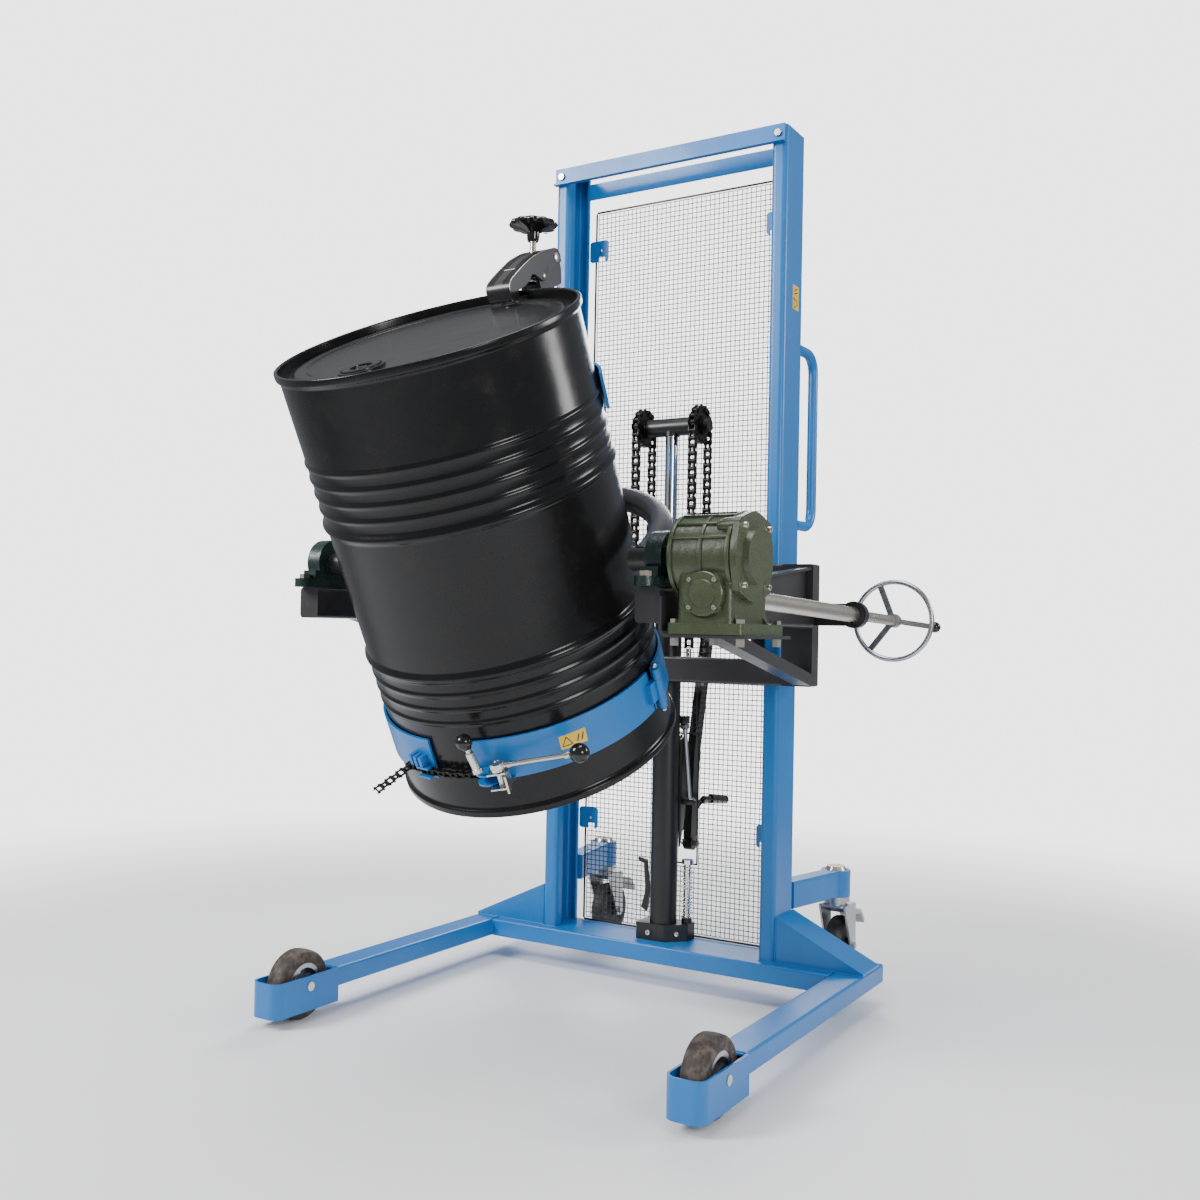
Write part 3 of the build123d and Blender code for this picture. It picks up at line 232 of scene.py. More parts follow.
# ---------------------------------------------------------------- materials
class Finish(Graph):
    """A surface finish under construction."""

    def __init__(self, name):
        self.material = bpy.data.materials.new(name)
        self.material.use_nodes = True
        super().__init__(self.material.node_tree)
        self.shader = self.tree.nodes["Principled BSDF"]
        self.place = self.node("ShaderNodeTexCoord").outputs["Object"]

    def noise(self, size, detail=2.0, rough=0.5, stretch=(1, 1, 1)):
        """Cloudy noise from 0 to 1 whose patches are about that many millimetres across."""
        mapped = self.node("ShaderNodeMapping", {}, {"Vector": self.place, "Scale": stretch})
        made = self.node("ShaderNodeTexNoise", {}, {
            "Vector": mapped, "Scale": 1 / (size * MM), "Detail": detail, "Roughness": rough})
        return self.value(made)

    def mask(self, value, low, high):
        """0 below one level of a value and 1 above another."""
        made = self.node("ShaderNodeMapRange", {"interpolation_type": "SMOOTHSTEP"}, {
            "Value": value, "From Min": low, "From Max": high})
        return self.value(made)

    def mix(self, share, first, second):
        """A colour that turns from the first to the second with a mask."""
        made = self.node("ShaderNodeMix", {"data_type": "RGBA"}, {
            "Factor": share, 6: self.rgba(first), 7: self.rgba(second)})
        return made.outputs[2]

    @staticmethod
    def rgba(colour):
        """A colour with its alpha, or a colour socket as it is."""
        if isinstance(colour, (bpy.types.NodeSocket, Value)):
            return colour
        return (*colour, 1.0) if len(colour) == 3 else colour

    def finish(self, colour, rough, bump=None, depth=0.0, distance=1.0, fixed=None):
        """Set the shader and return the material."""
        self.feed(self.shader.inputs["Base Color"], self.rgba(colour))
        self.feed(self.shader.inputs["Roughness"], rough)
        for name, value in (fixed or {}).items():
            self.shader.inputs[name].default_value = value
        if bump is not None:
            made = self.node("ShaderNodeBump", {}, {
                "Height": bump, "Strength": depth, "Distance": distance * MM})
            self.feed(self.shader.inputs["Normal"], made)
        return self.material


def scaled(colour, amount):
    """A darker or lighter version of a colour."""
    return tuple(min(1.0, part * amount) for part in colour)


def enamel(name, colour, rough, worn, coat=0.0, peel=0.25):
    """Sprayed paint: orange peel, faint shade changes, dust and rubbed patches."""
    paint = Finish(name)
    cloud, fine, patch = paint.noise(180, 3), paint.noise(5, 2), paint.noise(36, 6, 0.62)
    shade = paint.mix(cloud, scaled(colour, 0.86), scaled(colour, 1.14))
    rubbed = paint.mask(patch, 0.62, 0.74)
    shade = paint.mix(rubbed * 0.35, shade, worn)
    streak = paint.noise(60, 4, 0.5, (1, 1, 0.12))
    surface = rough + (streak - 0.5) * 0.16 + rubbed * 0.14
    return paint.finish(shade, surface, fine + paint.noise(60, 2) * 2.0, peel, 0.4,
                        {"Coat Weight": coat, "Coat Roughness": 0.08})


def plated(name, colour, rough, tint, grain=(1, 1, 1), depth=0.08, stain=0.3):
    """Bare or plated metal: fine grain, clouding and a little tarnish."""
    metal = Finish(name)
    cloud, fine = metal.noise(45, 4, 0.6), metal.noise(1.6, 3, 0.6, grain)
    shade = metal.mix(metal.mask(cloud, 0.42, 0.72) * stain, colour, tint)
    return metal.finish(shade, rough + (cloud - 0.5) * 0.22 + (fine - 0.5) * 0.12, fine, depth, 0.15,
                        {"Metallic": 1.0})


def cast_paint(name, colour, painted_sheen):
    """Thick paint over a sand casting: pebbled, with a painted sheen, a lighter colour on the raised
    lumps.
    """
    paint = Finish(name)
    sand, lump, cloud = paint.noise(2.6, 5, 0.65), paint.noise(14, 3), paint.noise(70, 3)
    shade = paint.mix(cloud, scaled(colour, 0.8), scaled(colour, 1.2))
    # Painted sheen: the raised lumps get a lighter colour that stands in for gloss catching the light.
    shade = paint.mix(paint.mask(lump, 0.6, 0.8) * 0.35, shade, painted_sheen)
    return paint.finish(shade, 0.30 + (sand - 0.5) * 0.35, sand + lump * 2.0, 0.45, 0.9)


def drum_enamel():
    """Black stoving enamel with handling scuffs and faint dents."""
    paint = Finish("drum_enamel")
    cloud, dust = paint.noise(240, 4), paint.noise(50, 8, 0.7)
    scuff = paint.mask(paint.noise(16, 9, 0.8, (1, 1, 3.0)), 0.69, 0.76)
    shade = paint.mix(paint.mask(dust, 0.5, 0.8), (0.0075, 0.0075, 0.008), (0.014, 0.013, 0.012))
    shade = paint.mix(scuff * 0.5, shade, (0.10, 0.095, 0.09))
    surface = 0.20 + (cloud - 0.5) * 0.16 + paint.mask(dust, 0.5, 0.8) * 0.10 + scuff * 0.3
    return paint.finish(shade, surface, paint.noise(120, 2) * 3.0 + paint.noise(4, 2) * 0.12, 0.20, 2.0,
                        {"Specular IOR Level": 0.28})


def worn_rubber(name, colour, dust):
    """A solid tyre: scuffed tread, grit and dust."""
    rubber = Finish(name)
    grit, cloud = rubber.noise(3, 6, 0.7), rubber.noise(22, 5, 0.6)
    shade = rubber.mix(rubber.mask(cloud, 0.42, 0.68), colour, dust)
    return rubber.finish(shade, 0.62 + (grit - 0.5) * 0.3, grit + cloud * 1.5, 0.5, 0.8)


def moulded(name, colour, rough):
    """Smooth moulded plastic with a faint surface texture."""
    plastic = Finish(name)
    fine = plastic.noise(3, 3)
    return plastic.finish(colour, rough + (plastic.noise(25, 3) - 0.5) * 0.12, fine, 0.05, 0.3)


def chain_steel():
    """Oiled black chain, brighter where it rubs."""
    metal = Finish("oiled_chain")
    rub = metal.mask(metal.noise(7, 4, 0.6), 0.56, 0.74)
    shade = metal.mix(rub * 0.7, (0.012, 0.012, 0.012), (0.16, 0.13, 0.10))
    return metal.finish(shade, 0.34 + rub * 0.1, metal.noise(2, 3), 0.15, 0.3, {"Metallic": 0.6})


def make_finishes(colours):
    """Every finish of the machine, by the record's slot."""
    blue, grey, green = (tuple(c) for c in (colours.blue, colours.grey, colours.green))
    brass_tint = (0.62, 0.52, 0.28)
    return {
        "blue_paint": enamel("blue_enamel", blue, 0.40, scaled(blue, 1.35), coat=0.12),
        "dark_grey_paint": enamel("grey_enamel", grey, 0.36, scaled(grey, 1.6), coat=0.1),
        "black_paint": enamel("black_enamel", (0.010, 0.010, 0.010), 0.36, (0.03, 0.03, 0.03)),
        "black_mesh": enamel("coated_wire", (0.016, 0.016, 0.016), 0.42, (0.05, 0.05, 0.05)),
        "black_chain": chain_steel(),
        "drum_black": drum_enamel(),
        # The third colour of each casting paint is its painted sheen on the raised lumps.
        "gearbox_green": cast_paint("casting_green", green, scaled(green, 1.9)),
        "bearing_green": cast_paint("bearing_green", (0.010, 0.026, 0.024), (0.035, 0.07, 0.065)),
        "chrome": plated("hard_chrome", (0.80, 0.80, 0.81), 0.10, (0.55, 0.55, 0.58), (1, 1, 8), 0.02),
        "zinc": plated("zinc_plate", (0.66, 0.64, 0.58), 0.28, brass_tint, (1, 1, 1), 0.08, 0.5),
        "silver_metal": plated("polished_casting", (0.46, 0.47, 0.48), 0.32, (0.30, 0.30, 0.31)),
        "black_plastic": moulded("black_phenolic", (0.010, 0.010, 0.010), 0.14),
        "tyre_rubber": worn_rubber("worn_tyre", (0.030, 0.022, 0.018), (0.11, 0.085, 0.065)),
        "caster_tyre": worn_rubber("caster_tyre", (0.014, 0.014, 0.014), (0.045, 0.042, 0.04)),
        "caster_steel": plated("caster_steel", (0.42, 0.43, 0.45), 0.36, (0.25, 0.25, 0.26)),
        "pedal_grey": enamel("pedal_enamel", (0.34, 0.35, 0.36), 0.42, (0.2, 0.2, 0.2)),
        "roller_steel": plated("roller_steel", (0.36, 0.36, 0.37), 0.34, (0.2, 0.18, 0.16)),
    }


# ---------------------------------------------------------------- mesh tools
class Shape:
    """A mesh under construction, in millimetres of a local place."""

    def __init__(self):
        self.mesh = bmesh.new()

    def add(self, points, faces, place=Matrix()):
        """Add points and faces and return the new points."""
        made = [self.mesh.verts.new(place @ Vector(p)) for p in points]
        for face in faces:
            self.mesh.faces.new([made[i] for i in face])
        return made

    def lathe(self, outline, place=Matrix(), steps=48, loop=False):
        """Turn an outline of (radius, height) round local Z. A loop is closed like a ring."""
        rings = []
        for radius, height in outline:
            if radius < 1e-6:
                rings.append(self.add([(0, 0, height)], [], place) * steps)
                continue
            turns = (2 * math.pi * step / steps for step in range(steps))
            rings.append(self.add([(radius * math.cos(t), radius * math.sin(t), height) for t in turns],
                                  [], place))
        self.skin(rings, loop)

    def skin(self, rings, loop=False):
        """Join rings of points with faces. A ring may be one point, repeated."""
        for low, high in zip(rings, rings[1:] + rings[:1] if loop else rings[1:]):
            for step in range(len(low)):
                after = (step + 1) % len(low)
                corners = [low[step], low[after], high[after], high[step]]
                corners = [c for i, c in enumerate(corners) if c not in corners[:i]]
                if len(corners) > 2:
                    self.mesh.faces.new(corners)

    def prism(self, outline, low, high, place=Matrix(), bevel=0.0):
        """Raise a flat outline from one height to another, with its rims rounded."""
        count = len(outline)
        points = [(x, y, low) for x, y in outline] + [(x, y, high) for x, y in outline]
        walls = [(i, (i + 1) % count, count + (i + 1) % count, count + i) for i in range(count)]
        caps = [tuple(reversed(range(count))), tuple(range(count, 2 * count))]
        made = self.add(points, walls + caps, place)
        if bevel:
            rims = {e for v in made for e in v.link_edges}
            if count > 4:
                rims = {e for e in rims if any(len(f.verts) == count for f in e.link_faces)}
            bmesh.ops.bevel(self.mesh, geom=list(rims), offset=bevel, segments=2, profile=0.5,
                            affect="EDGES")

    def block(self, low, high, bevel=1.0, place=Matrix()):
        """A box between two corners, with rounded edges."""
        (x0, y0, z0), (x1, y1, z1) = low, high
        self.prism([(x0, y0), (x1, y0), (x1, y1), (x0, y1)], z0, z1, place, bevel)

    def tube(self, path, radius, sides=12, place=Matrix()):
        """A round bar along a list of points."""
        points = [Vector(p) for p in path]
        rings = []
        side = Vector((0.31, 0.52, 0.79))
        for index, point in enumerate(points):
            ahead = points[min(index + 1, len(points) - 1)] - points[max(index - 1, 0)]
            ahead.normalize()
            side = (side - ahead * side.dot(ahead)).normalized()
            up = ahead.cross(side)
            ring = []
            for step in range(sides):
                turn = 2 * math.pi * step / sides
                ring.append(point + side * math.cos(turn) * radius + up * math.sin(turn) * radius)
            rings.append(self.add(ring, [], place))
        self.skin(rings)
        self.mesh.faces.new(list(reversed(rings[0])))
        self.mesh.faces.new(rings[-1])

    def ball(self, centre, radius, steps=24):
        """A round ball."""
        rows = steps // 2
        outline = [(radius * math.sin(math.pi * row / rows), -radius * math.cos(math.pi * row / rows))
                   for row in range(rows + 1)]
        outline[0], outline[-1] = (0, -radius), (0, radius)
        self.lathe(outline, Matrix.Translation(centre), steps)

    def to_mesh(self, name, place=Matrix()):
        """The finished mesh in the frame's metres, with its faces pointing outwards."""
        self.mesh.transform(place)
        bmesh.ops.remove_doubles(self.mesh, verts=self.mesh.verts, dist=1e-7)
        bmesh.ops.recalc_face_normals(self.mesh, faces=self.mesh.faces)
        made = bpy.data.meshes.new(name)
        self.mesh.to_mesh(made)
        self.mesh.free()
        return made

    def settle(self, name, place, body, slot, **options):
        """Make the finished shape a piece of the machine."""
        return settle(self.to_mesh(name, place), name, body, slot, **options)


def rounded(corners, radius, steps=4):
    """An open outline with each inner corner turned into an arc."""
    points = [Vector(corners[0])]
    for before, corner, after in zip(corners, corners[1:], corners[2:]):
        before, corner, after = Vector(before), Vector(corner), Vector(after)
        reach = min(radius, (before - corner).length * 0.45, (after - corner).length * 0.45)
        start = corner + (before - corner).normalized() * reach
        end = corner + (after - corner).normalized() * reach
        for step in range(steps + 1):
            t = step / steps
            points.append(start * (1 - t) ** 2 + corner * 2 * t * (1 - t) + end * t ** 2)
    points.append(Vector(corners[-1]))
    return [tuple(p) for p in points]


def ring_outline(inner, outer, low, high, radius=1.5):
    """The outline of a ring's cross section, with its corners rounded."""
    middle = (inner + outer) / 2
    corners = [(middle, low), (outer, low), (outer, high), (inner, high), (inner, low), (middle, low)]
    return rounded(corners, radius)[:-1]


def polar(radius, angle):
    """A point round the drum: angle 0 is its front, 90 the gearbox side."""
    return radius * math.sin(math.radians(angle)), -radius * math.cos(math.radians(angle))


def round_drum(radius, angle, height, turn, axis="Z"):
    """A place round the drum, with its own turn."""
    return Matrix.Translation((*polar(radius, angle), height)) @ Matrix.Rotation(
        math.radians(turn), 4, axis)


def corners_at(out):
    """The corners of a square that reaches that far each way."""
    return [(across, up) for across in (-out, out) for up in (-out, out)]


def settle(mesh, name, body, slot, finish=None, replaced=(), sharp=40.0):
    """Make a mesh a piece of the machine, with its finish, on its body."""
    for polygon in mesh.polygons:
        polygon.use_smooth = True
    mesh.set_sharp_from_angle(angle=math.radians(sharp))
    if not mesh.materials:
        mesh.materials.append(finish or finishes[slot])
    piece = bpy.data.objects.new(name, mesh)
    bpy.context.scene.collection.objects.link(piece)
    if body:
        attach(piece, body)
    if replaced:
        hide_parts(*replaced)
    return piece


# ---------------------------------------------------------------- geometry node trees
class Growth(Graph):
    """A geometry node tree with named inputs, ending in one material."""

    def __init__(self, name, inputs):
        super().__init__(bpy.data.node_groups.new(name, "GeometryNodeTree"))
        face = self.tree.interface
        face.new_socket("Geometry", in_out="INPUT", socket_type="NodeSocketGeometry")
        for label, kind in inputs.items():
            face.new_socket(label, in_out="INPUT", socket_type=f"NodeSocket{kind}")
        face.new_socket("Material", in_out="INPUT", socket_type="NodeSocketMaterial")
        face.new_socket("Geometry", in_out="OUTPUT", socket_type="NodeSocketGeometry")
        self.inputs = self.tree.nodes.new("NodeGroupInput").outputs

    def given(self, label):
        """A number input, ready for sums."""
        return Value(self, self.inputs[label])

    def end(self, geometry):
        """Realize what was made, give it its material and send it out."""
        real = self.node("GeometryNodeRealizeInstances", {}, {"Geometry": geometry})
        done = self.node("GeometryNodeSetMaterial", {}, {
            "Geometry": real, "Material": self.inputs["Material"]})
        out = self.tree.nodes.new("NodeGroupOutput")
        self.feed(out.inputs["Geometry"], done)
        return self.tree


def grow(name, data, tree, inputs):
    """The plain mesh that a node tree makes from a mesh or curve."""
    carrier = bpy.data.objects.new(name, data)
    bpy.context.scene.collection.objects.link(carrier)
    modifier = carrier.modifiers.new("grow", "NODES")
    modifier.node_group = tree
    for item in tree.interface.items_tree:
        if item.in_out == "INPUT" and item.name in inputs:
            modifier[item.identifier] = inputs[item.name]
    view = bpy.context.evaluated_depsgraph_get()
    made = bpy.data.meshes.new_from_object(carrier.evaluated_get(view))
    bpy.data.objects.remove(carrier)
    made.name = name
    made.materials.clear()
    made.materials.append(inputs["Material"])
    for polygon in made.polygons:
        polygon.material_index = 0
    return made


def path_curve(points, place):
    """A curve through straight runs between points."""
    curve = bpy.data.curves.new("path", "CURVE")
    curve.dimensions = "3D"
    spline = curve.splines.new("POLY")
    spline.points.add(len(points) - 1)
    for target, point in zip(spline.points, points):
        target.co = (*(place @ Vector(point)), 1.0)
    return curve


def stand_in(shape, name, place):
    """A hidden object whose mesh a node tree repeats."""
    made = bpy.data.objects.new(name, shape.to_mesh(name, place))
    bpy.context.scene.collection.objects.link(made)
    made.hide_render = True
    return made


def woven_wire_tree():
    """Wires both ways, crimped over and under each other, with a window cut out."""
    g = Growth("woven_wire", {"Across": "Int", "Up": "Int", "Pitch": "Float", "Gauge": "Float",
                              "Window Low": "Vector", "Window High": "Vector"})
    across, up, pitch, gauge = (g.given(n) for n in ("Across", "Up", "Pitch", "Gauge"))
    directions = []
    for count, length, axis, lift in ((across, up, "X", 1.0), (up, across, "Z", -1.0)):
        step = g.node("ShaderNodeCombineXYZ", {}, {axis: pitch})
        line = g.node("GeometryNodeMeshLine", {"mode": "OFFSET"}, {"Count": count, "Offset": step})
        along = g.node("ShaderNodeCombineXYZ", {}, {"Z" if axis == "X" else "X": pitch})
        wire = g.node("GeometryNodeMeshLine", {"mode": "OFFSET"}, {"Count": length, "Offset": along})
        wires = g.node("GeometryNodeInstanceOnPoints", {}, {"Points": line, "Instance": wire})
        wires = g.node("GeometryNodeRealizeInstances", {}, {"Geometry": wires})
        split = g.node("ShaderNodeSeparateXYZ", {}, {"Vector": g.node("GeometryNodeInputPosition")})
        phase = (g.value(split, "X") + g.value(split, "Z")) / pitch * math.pi
        wave = g.value(g.node("ShaderNodeMath", {"operation": "COSINE"}, {0: phase}))
        offset = g.node("ShaderNodeCombineXYZ", {}, {"Y": wave * gauge * (lift * 0.5)})
        directions.append(g.node("GeometryNodeSetPosition", {}, {"Geometry": wires, "Offset": offset}))
    both = g.node("GeometryNodeJoinGeometry")
    for wires in directions:
        g.feed(both.inputs[0], wires)
    place = g.node("GeometryNodeInputPosition")
    inside = []
    for bound, operation in (("Window Low", "GREATER_THAN"), ("Window High", "LESS_THAN")):
        compare = g.node("FunctionNodeCompare", {"data_type": "VECTOR", "operation": operation,
                                                 "mode": "ELEMENT"})
        vectors = [s for s in compare.inputs if s.type == "VECTOR"]
        g.feed(vectors[0], place)
        g.feed(vectors[1], g.inputs[bound])
        inside.append(compare)
    both_bounds = g.node("FunctionNodeBooleanMath", {"operation": "AND"}, {0: inside[0], 1: inside[1]})
    kept = g.node("GeometryNodeDeleteGeometry", {"domain": "POINT"}, {"Geometry": both,
                                                                    "Selection": both_bounds})
    curves = g.node("GeometryNodeMeshToCurve", {}, {"Mesh": kept})
    section = g.node("GeometryNodeCurvePrimitiveCircle", {}, {"Resolution": 4, "Radius": gauge * 0.56})
    solid = g.node("GeometryNodeCurveToMesh", {}, {"Curve": curves, "Profile Curve": section,
                                                   "Fill Caps": True})
    return g.end(solid)


def chain_tree():
    """Inner and outer links by turns along a curve, with their pins along a given direction."""
    g = Growth("roller_chain", {"Links": "Int", "Outer": "Object", "Inner": "Object", "Pin": "Vector"})
    even = g.node("GeometryNodeCurveToPoints", {"mode": "COUNT"}, {"Curve": g.inputs["Geometry"],
                                                                  "Count": g.inputs["Links"]})
    turn = g.node("FunctionNodeAxesToRotation", {"primary_axis": "Z", "secondary_axis": "X"}, {
        "Primary Axis": even.outputs["Tangent"], "Secondary Axis": g.inputs["Pin"]})
    odd = g.value(g.node("GeometryNodeInputIndex")) % 2.0
    links = g.node("GeometryNodeJoinGeometry")
    for label, which in (("Outer", "LESS_THAN"), ("Inner", "GREATER_THAN")):
        chosen = g.node("ShaderNodeMath", {"operation": which}, {0: odd, 1: 0.5})
        link = g.node("GeometryNodeObjectInfo", {"transform_space": "ORIGINAL"},
                      {"Object": g.inputs[label]})
        made = g.node("GeometryNodeInstanceOnPoints", {}, {
            "Points": even.outputs["Points"], "Selection": chosen, "Instance": link.outputs["Geometry"],
            "Rotation": turn})
        g.feed(links.inputs[0], made)
    return g.end(links)


def studs_tree():
    """One fastener at each point, turned to the way it faces."""
    g = Growth("fasteners", {"Head": "Object"})
    facing = g.node("GeometryNodeInputNamedAttribute", {"data_type": "FLOAT_VECTOR"}, {"Name": "facing"})
    size = g.node("GeometryNodeInputNamedAttribute", {"data_type": "FLOAT"}, {"Name": "size"})
    turn = g.node("FunctionNodeAxesToRotation", {"primary_axis": "Z", "secondary_axis": "X"}, {
        "Primary Axis": facing, "Secondary Axis": (0.31, 0.52, 0.79)})
    head = g.node("GeometryNodeObjectInfo", {"transform_space": "ORIGINAL"}, {"Object": g.inputs["Head"]})
    made = g.node("GeometryNodeInstanceOnPoints", {}, {
        "Points": g.inputs["Geometry"], "Instance": head.outputs["Geometry"], "Rotation": turn,
        "Scale": size})
    return g.end(made)


def coil_tree():
    """Round wire wound into a coil standing on its origin."""
    g = Growth("coil", {"Turns": "Float", "Radius": "Float", "Height": "Float", "Wire": "Float"})
    spiral = g.node("GeometryNodeCurveSpiral", {}, {
        "Resolution": 24, "Rotations": g.inputs["Turns"], "Start Radius": g.inputs["Radius"],
        "End Radius": g.inputs["Radius"], "Height": g.inputs["Height"]})
    section = g.node("GeometryNodeCurvePrimitiveCircle", {}, {"Resolution": 8,
                                                             "Radius": g.given("Wire") * 0.5})
    solid = g.node("GeometryNodeCurveToMesh", {}, {"Curve": spiral, "Profile Curve": section,
                                                   "Fill Caps": True})
    return g.end(solid)


def weld_tree():
    """A rippled bead along a curve, uneven like a hand-laid weld."""
    g = Growth("weld_bead", {"Leg": "Float"})
    runs = g.node("GeometryNodeResampleCurve", {"mode": "LENGTH"}, {"Curve": g.inputs["Geometry"],
                                                                    "Length": 1.3 * MM})
    ripple = g.value(g.node("GeometryNodeInputIndex")) % 4.0
    lumps = g.value(g.node("ShaderNodeTexNoise", {}, {"Scale": 90.0}))
    size = (ripple * 0.07 + lumps * 0.5 + 0.6) * g.given("Leg")
    section = g.node("GeometryNodeCurvePrimitiveCircle", {}, {"Resolution": 8, "Radius": 1.0})
    solid = g.node("GeometryNodeCurveToMesh", {}, {"Curve": runs, "Profile Curve": section, "Scale": size,
                                                   "Fill Caps": True})
    return g.end(solid)


def fasteners(name, head, spots, body, slot, place=ON_MACHINE):
    """One piece of like fasteners: each spot is a point, the way it faces and a size."""
    points = bpy.data.meshes.new(name + "_spots")
    points.from_pydata([tuple(place @ Vector(p)) for p, _, _ in spots], [], [])
    points.attributes.new("facing", "FLOAT_VECTOR", "POINT")
    points.attributes.new("size", "FLOAT", "POINT")
    turned = place.to_3x3().normalized()
    for index, (_, way, scale) in enumerate(spots):
        points.attributes["facing"].data[index].vector = turned @ Vector(way)
        points.attributes["size"].data[index].value = scale
    mesh = grow(name, points, trees["fasteners"], {"Head": head, "Material": finishes[slot]})
    return settle(mesh, name, body, slot, sharp=32)


def hex_outline(across):
    """The corners of a hexagon that wide across its flats."""
    radius = across / 2 / math.cos(math.pi / 6)
    return [(radius * math.cos(math.pi / 3 * i), radius * math.sin(math.pi / 3 * i)) for i in range(6)]


def make_heads():
    """The fasteners that are repeated: each is one unit wide and stands on its origin."""
    outlines = {
        "socket": [(0, -0.2), (0.5, -0.2), (0.5, 0.50), (0.45, 0.58), (0.27, 0.58), (0.25, 0.55),
                   (0.25, 0.2), (0, 0.2)],
        "dome": [(0, -0.1), (0.5, -0.1), (0.5, 0.02), (0.46, 0.14), (0.34, 0.24), (0.18, 0.29),
                 (0, 0.30)],
    }
    for name, outline in outlines.items():
        head = Shape()
        head.lathe(outline, steps=18)
        heads[name] = stand_in(head, f"{name}_head", TO_METRES)


def drop_heads():
    """Remove the hidden fasteners and links once nothing needs them."""
    for head in heads.values():
        bpy.data.objects.remove(head)
    heads.clear()


# ---------------------------------------------------------------- operators
class LIFTER_OT_finishes(bpy.types.Operator):
    """Make every finish and give the frame's own parts theirs."""

    bl_idname = "lifter.finishes"
    bl_label = "Finishes"

    def execute(self, context):
        finishes.update(make_finishes(context.scene.lifter_finish))
        trees.update(woven=woven_wire_tree(), chain=chain_tree(), fasteners=studs_tree(),
                     coil=coil_tree(), weld=weld_tree())
        make_heads()
        slots = {s["node"]: s["material_slot"] for s in frame["record"]["subparts"]}
        for name, node in frame["nodes"].items():
            node.data.materials.clear()
            node.data.materials.append(finishes[slots[name]])
            for polygon in node.data.polygons:
                polygon.material_index = 0
        return {"FINISHED"}


class LIFTER_OT_drum(bpy.types.Operator):
    """Roll the steel drum: chimes, hoops, beads, lid and plugs."""

    bl_idname = "lifter.drum"
    bl_label = "Steel drum"

    def execute(self, context):
        settings = context.scene.lifter_drum
        low, high = DRUM_CENTRE - DRUM_HEIGHT / 2, DRUM_CENTRE + DRUM_HEIGHT / 2
        swells = [(h, settings.hoop / MM, 14.0) for h in (-140, 140)]
        swells += [(h, settings.bead / MM, 9.0) for h in (-235, -205, -175, 175, 205, 235, 265)]

        def radius_at(height):
            bulge = sum(proud * math.cos(math.pi / 2 * min(1, abs(height - DRUM_CENTRE - h) / half)) ** 2
                        for h, proud, half in swells)
            return BODY_RADIUS + bulge

        heights = {low + 22, high - 22}
        for h, _, half in swells:
            heights |= {DRUM_CENTRE + h + half * step / 5 for step in range(-5, 6)}
        wall = [(radius_at(z), z) for z in sorted(heights)]
        chime = rounded([(CHIME_RADIUS - 9, 19), (CHIME_RADIUS - 8, 3), (CHIME_RADIUS - 7, 0),
                         (CHIME_RADIUS, 0), (CHIME_RADIUS, 13), (BODY_RADIUS + 2, 17),
                         (BODY_RADIUS, 21)], 3.0)
        foot = [(r, low + z) for r, z in chime]
        rim = [(r, high - z) for r, z in reversed(chime)]
        lid = rounded([(CHIME_RADIUS - 9, LID_DEPTH), (262, LID_DEPTH - 1.5), (256, LID_DEPTH - 6),
                       (238, LID_DEPTH - 6), (230, LID_DEPTH - 2), (0, LID_DEPTH - 3)], 4.0)
        top = [(r, high - z) for r, z in lid]
        bottom = [(r, low + z) for r, z in reversed(lid)]
        shape = Shape()
        shape.lathe(bottom + foot[1:] + wall + rim + top[1:], steps=settings.steps)
        lid_z = high - LID_DEPTH + 3
        for angle, spread, size in ((-6, 184, 37), (170, 244, 21)):
            seat = Matrix.Translation((*polar(spread, angle), lid_z))
            shape.lathe([(0, -1), (size + 7, -1), (size + 6, 2.5), (size + 1, 3.5), (size, 1.0),
                         (size - 2, 1.0), (size - 2.5, 4.2), (size - 5, 5), (size * 0.55, 5),
                         (size * 0.52, 0.5), (0, 0.5)], seat, 48)
            shape.prism(hex_outline(size * 0.55), 0.4, 4.0, seat, 0.6)
        seam = [polar(BODY_RADIUS + 0.35, 205 + d) for d in (-0.35, 0.35)]
        seam += [polar(BODY_RADIUS - 2, 205 + d) for d in (0.35, -0.35)]
        shape.prism(seam, low + 24, DRUM_CENTRE - 248)
        shape.prism(seam, DRUM_CENTRE - 125, DRUM_CENTRE + 125)
        shape.settle("steel_drum", ON_DRUM, "cradle", "drum_black", replaced=["drum_shell"], sharp=50)
        return {"FINISHED"}


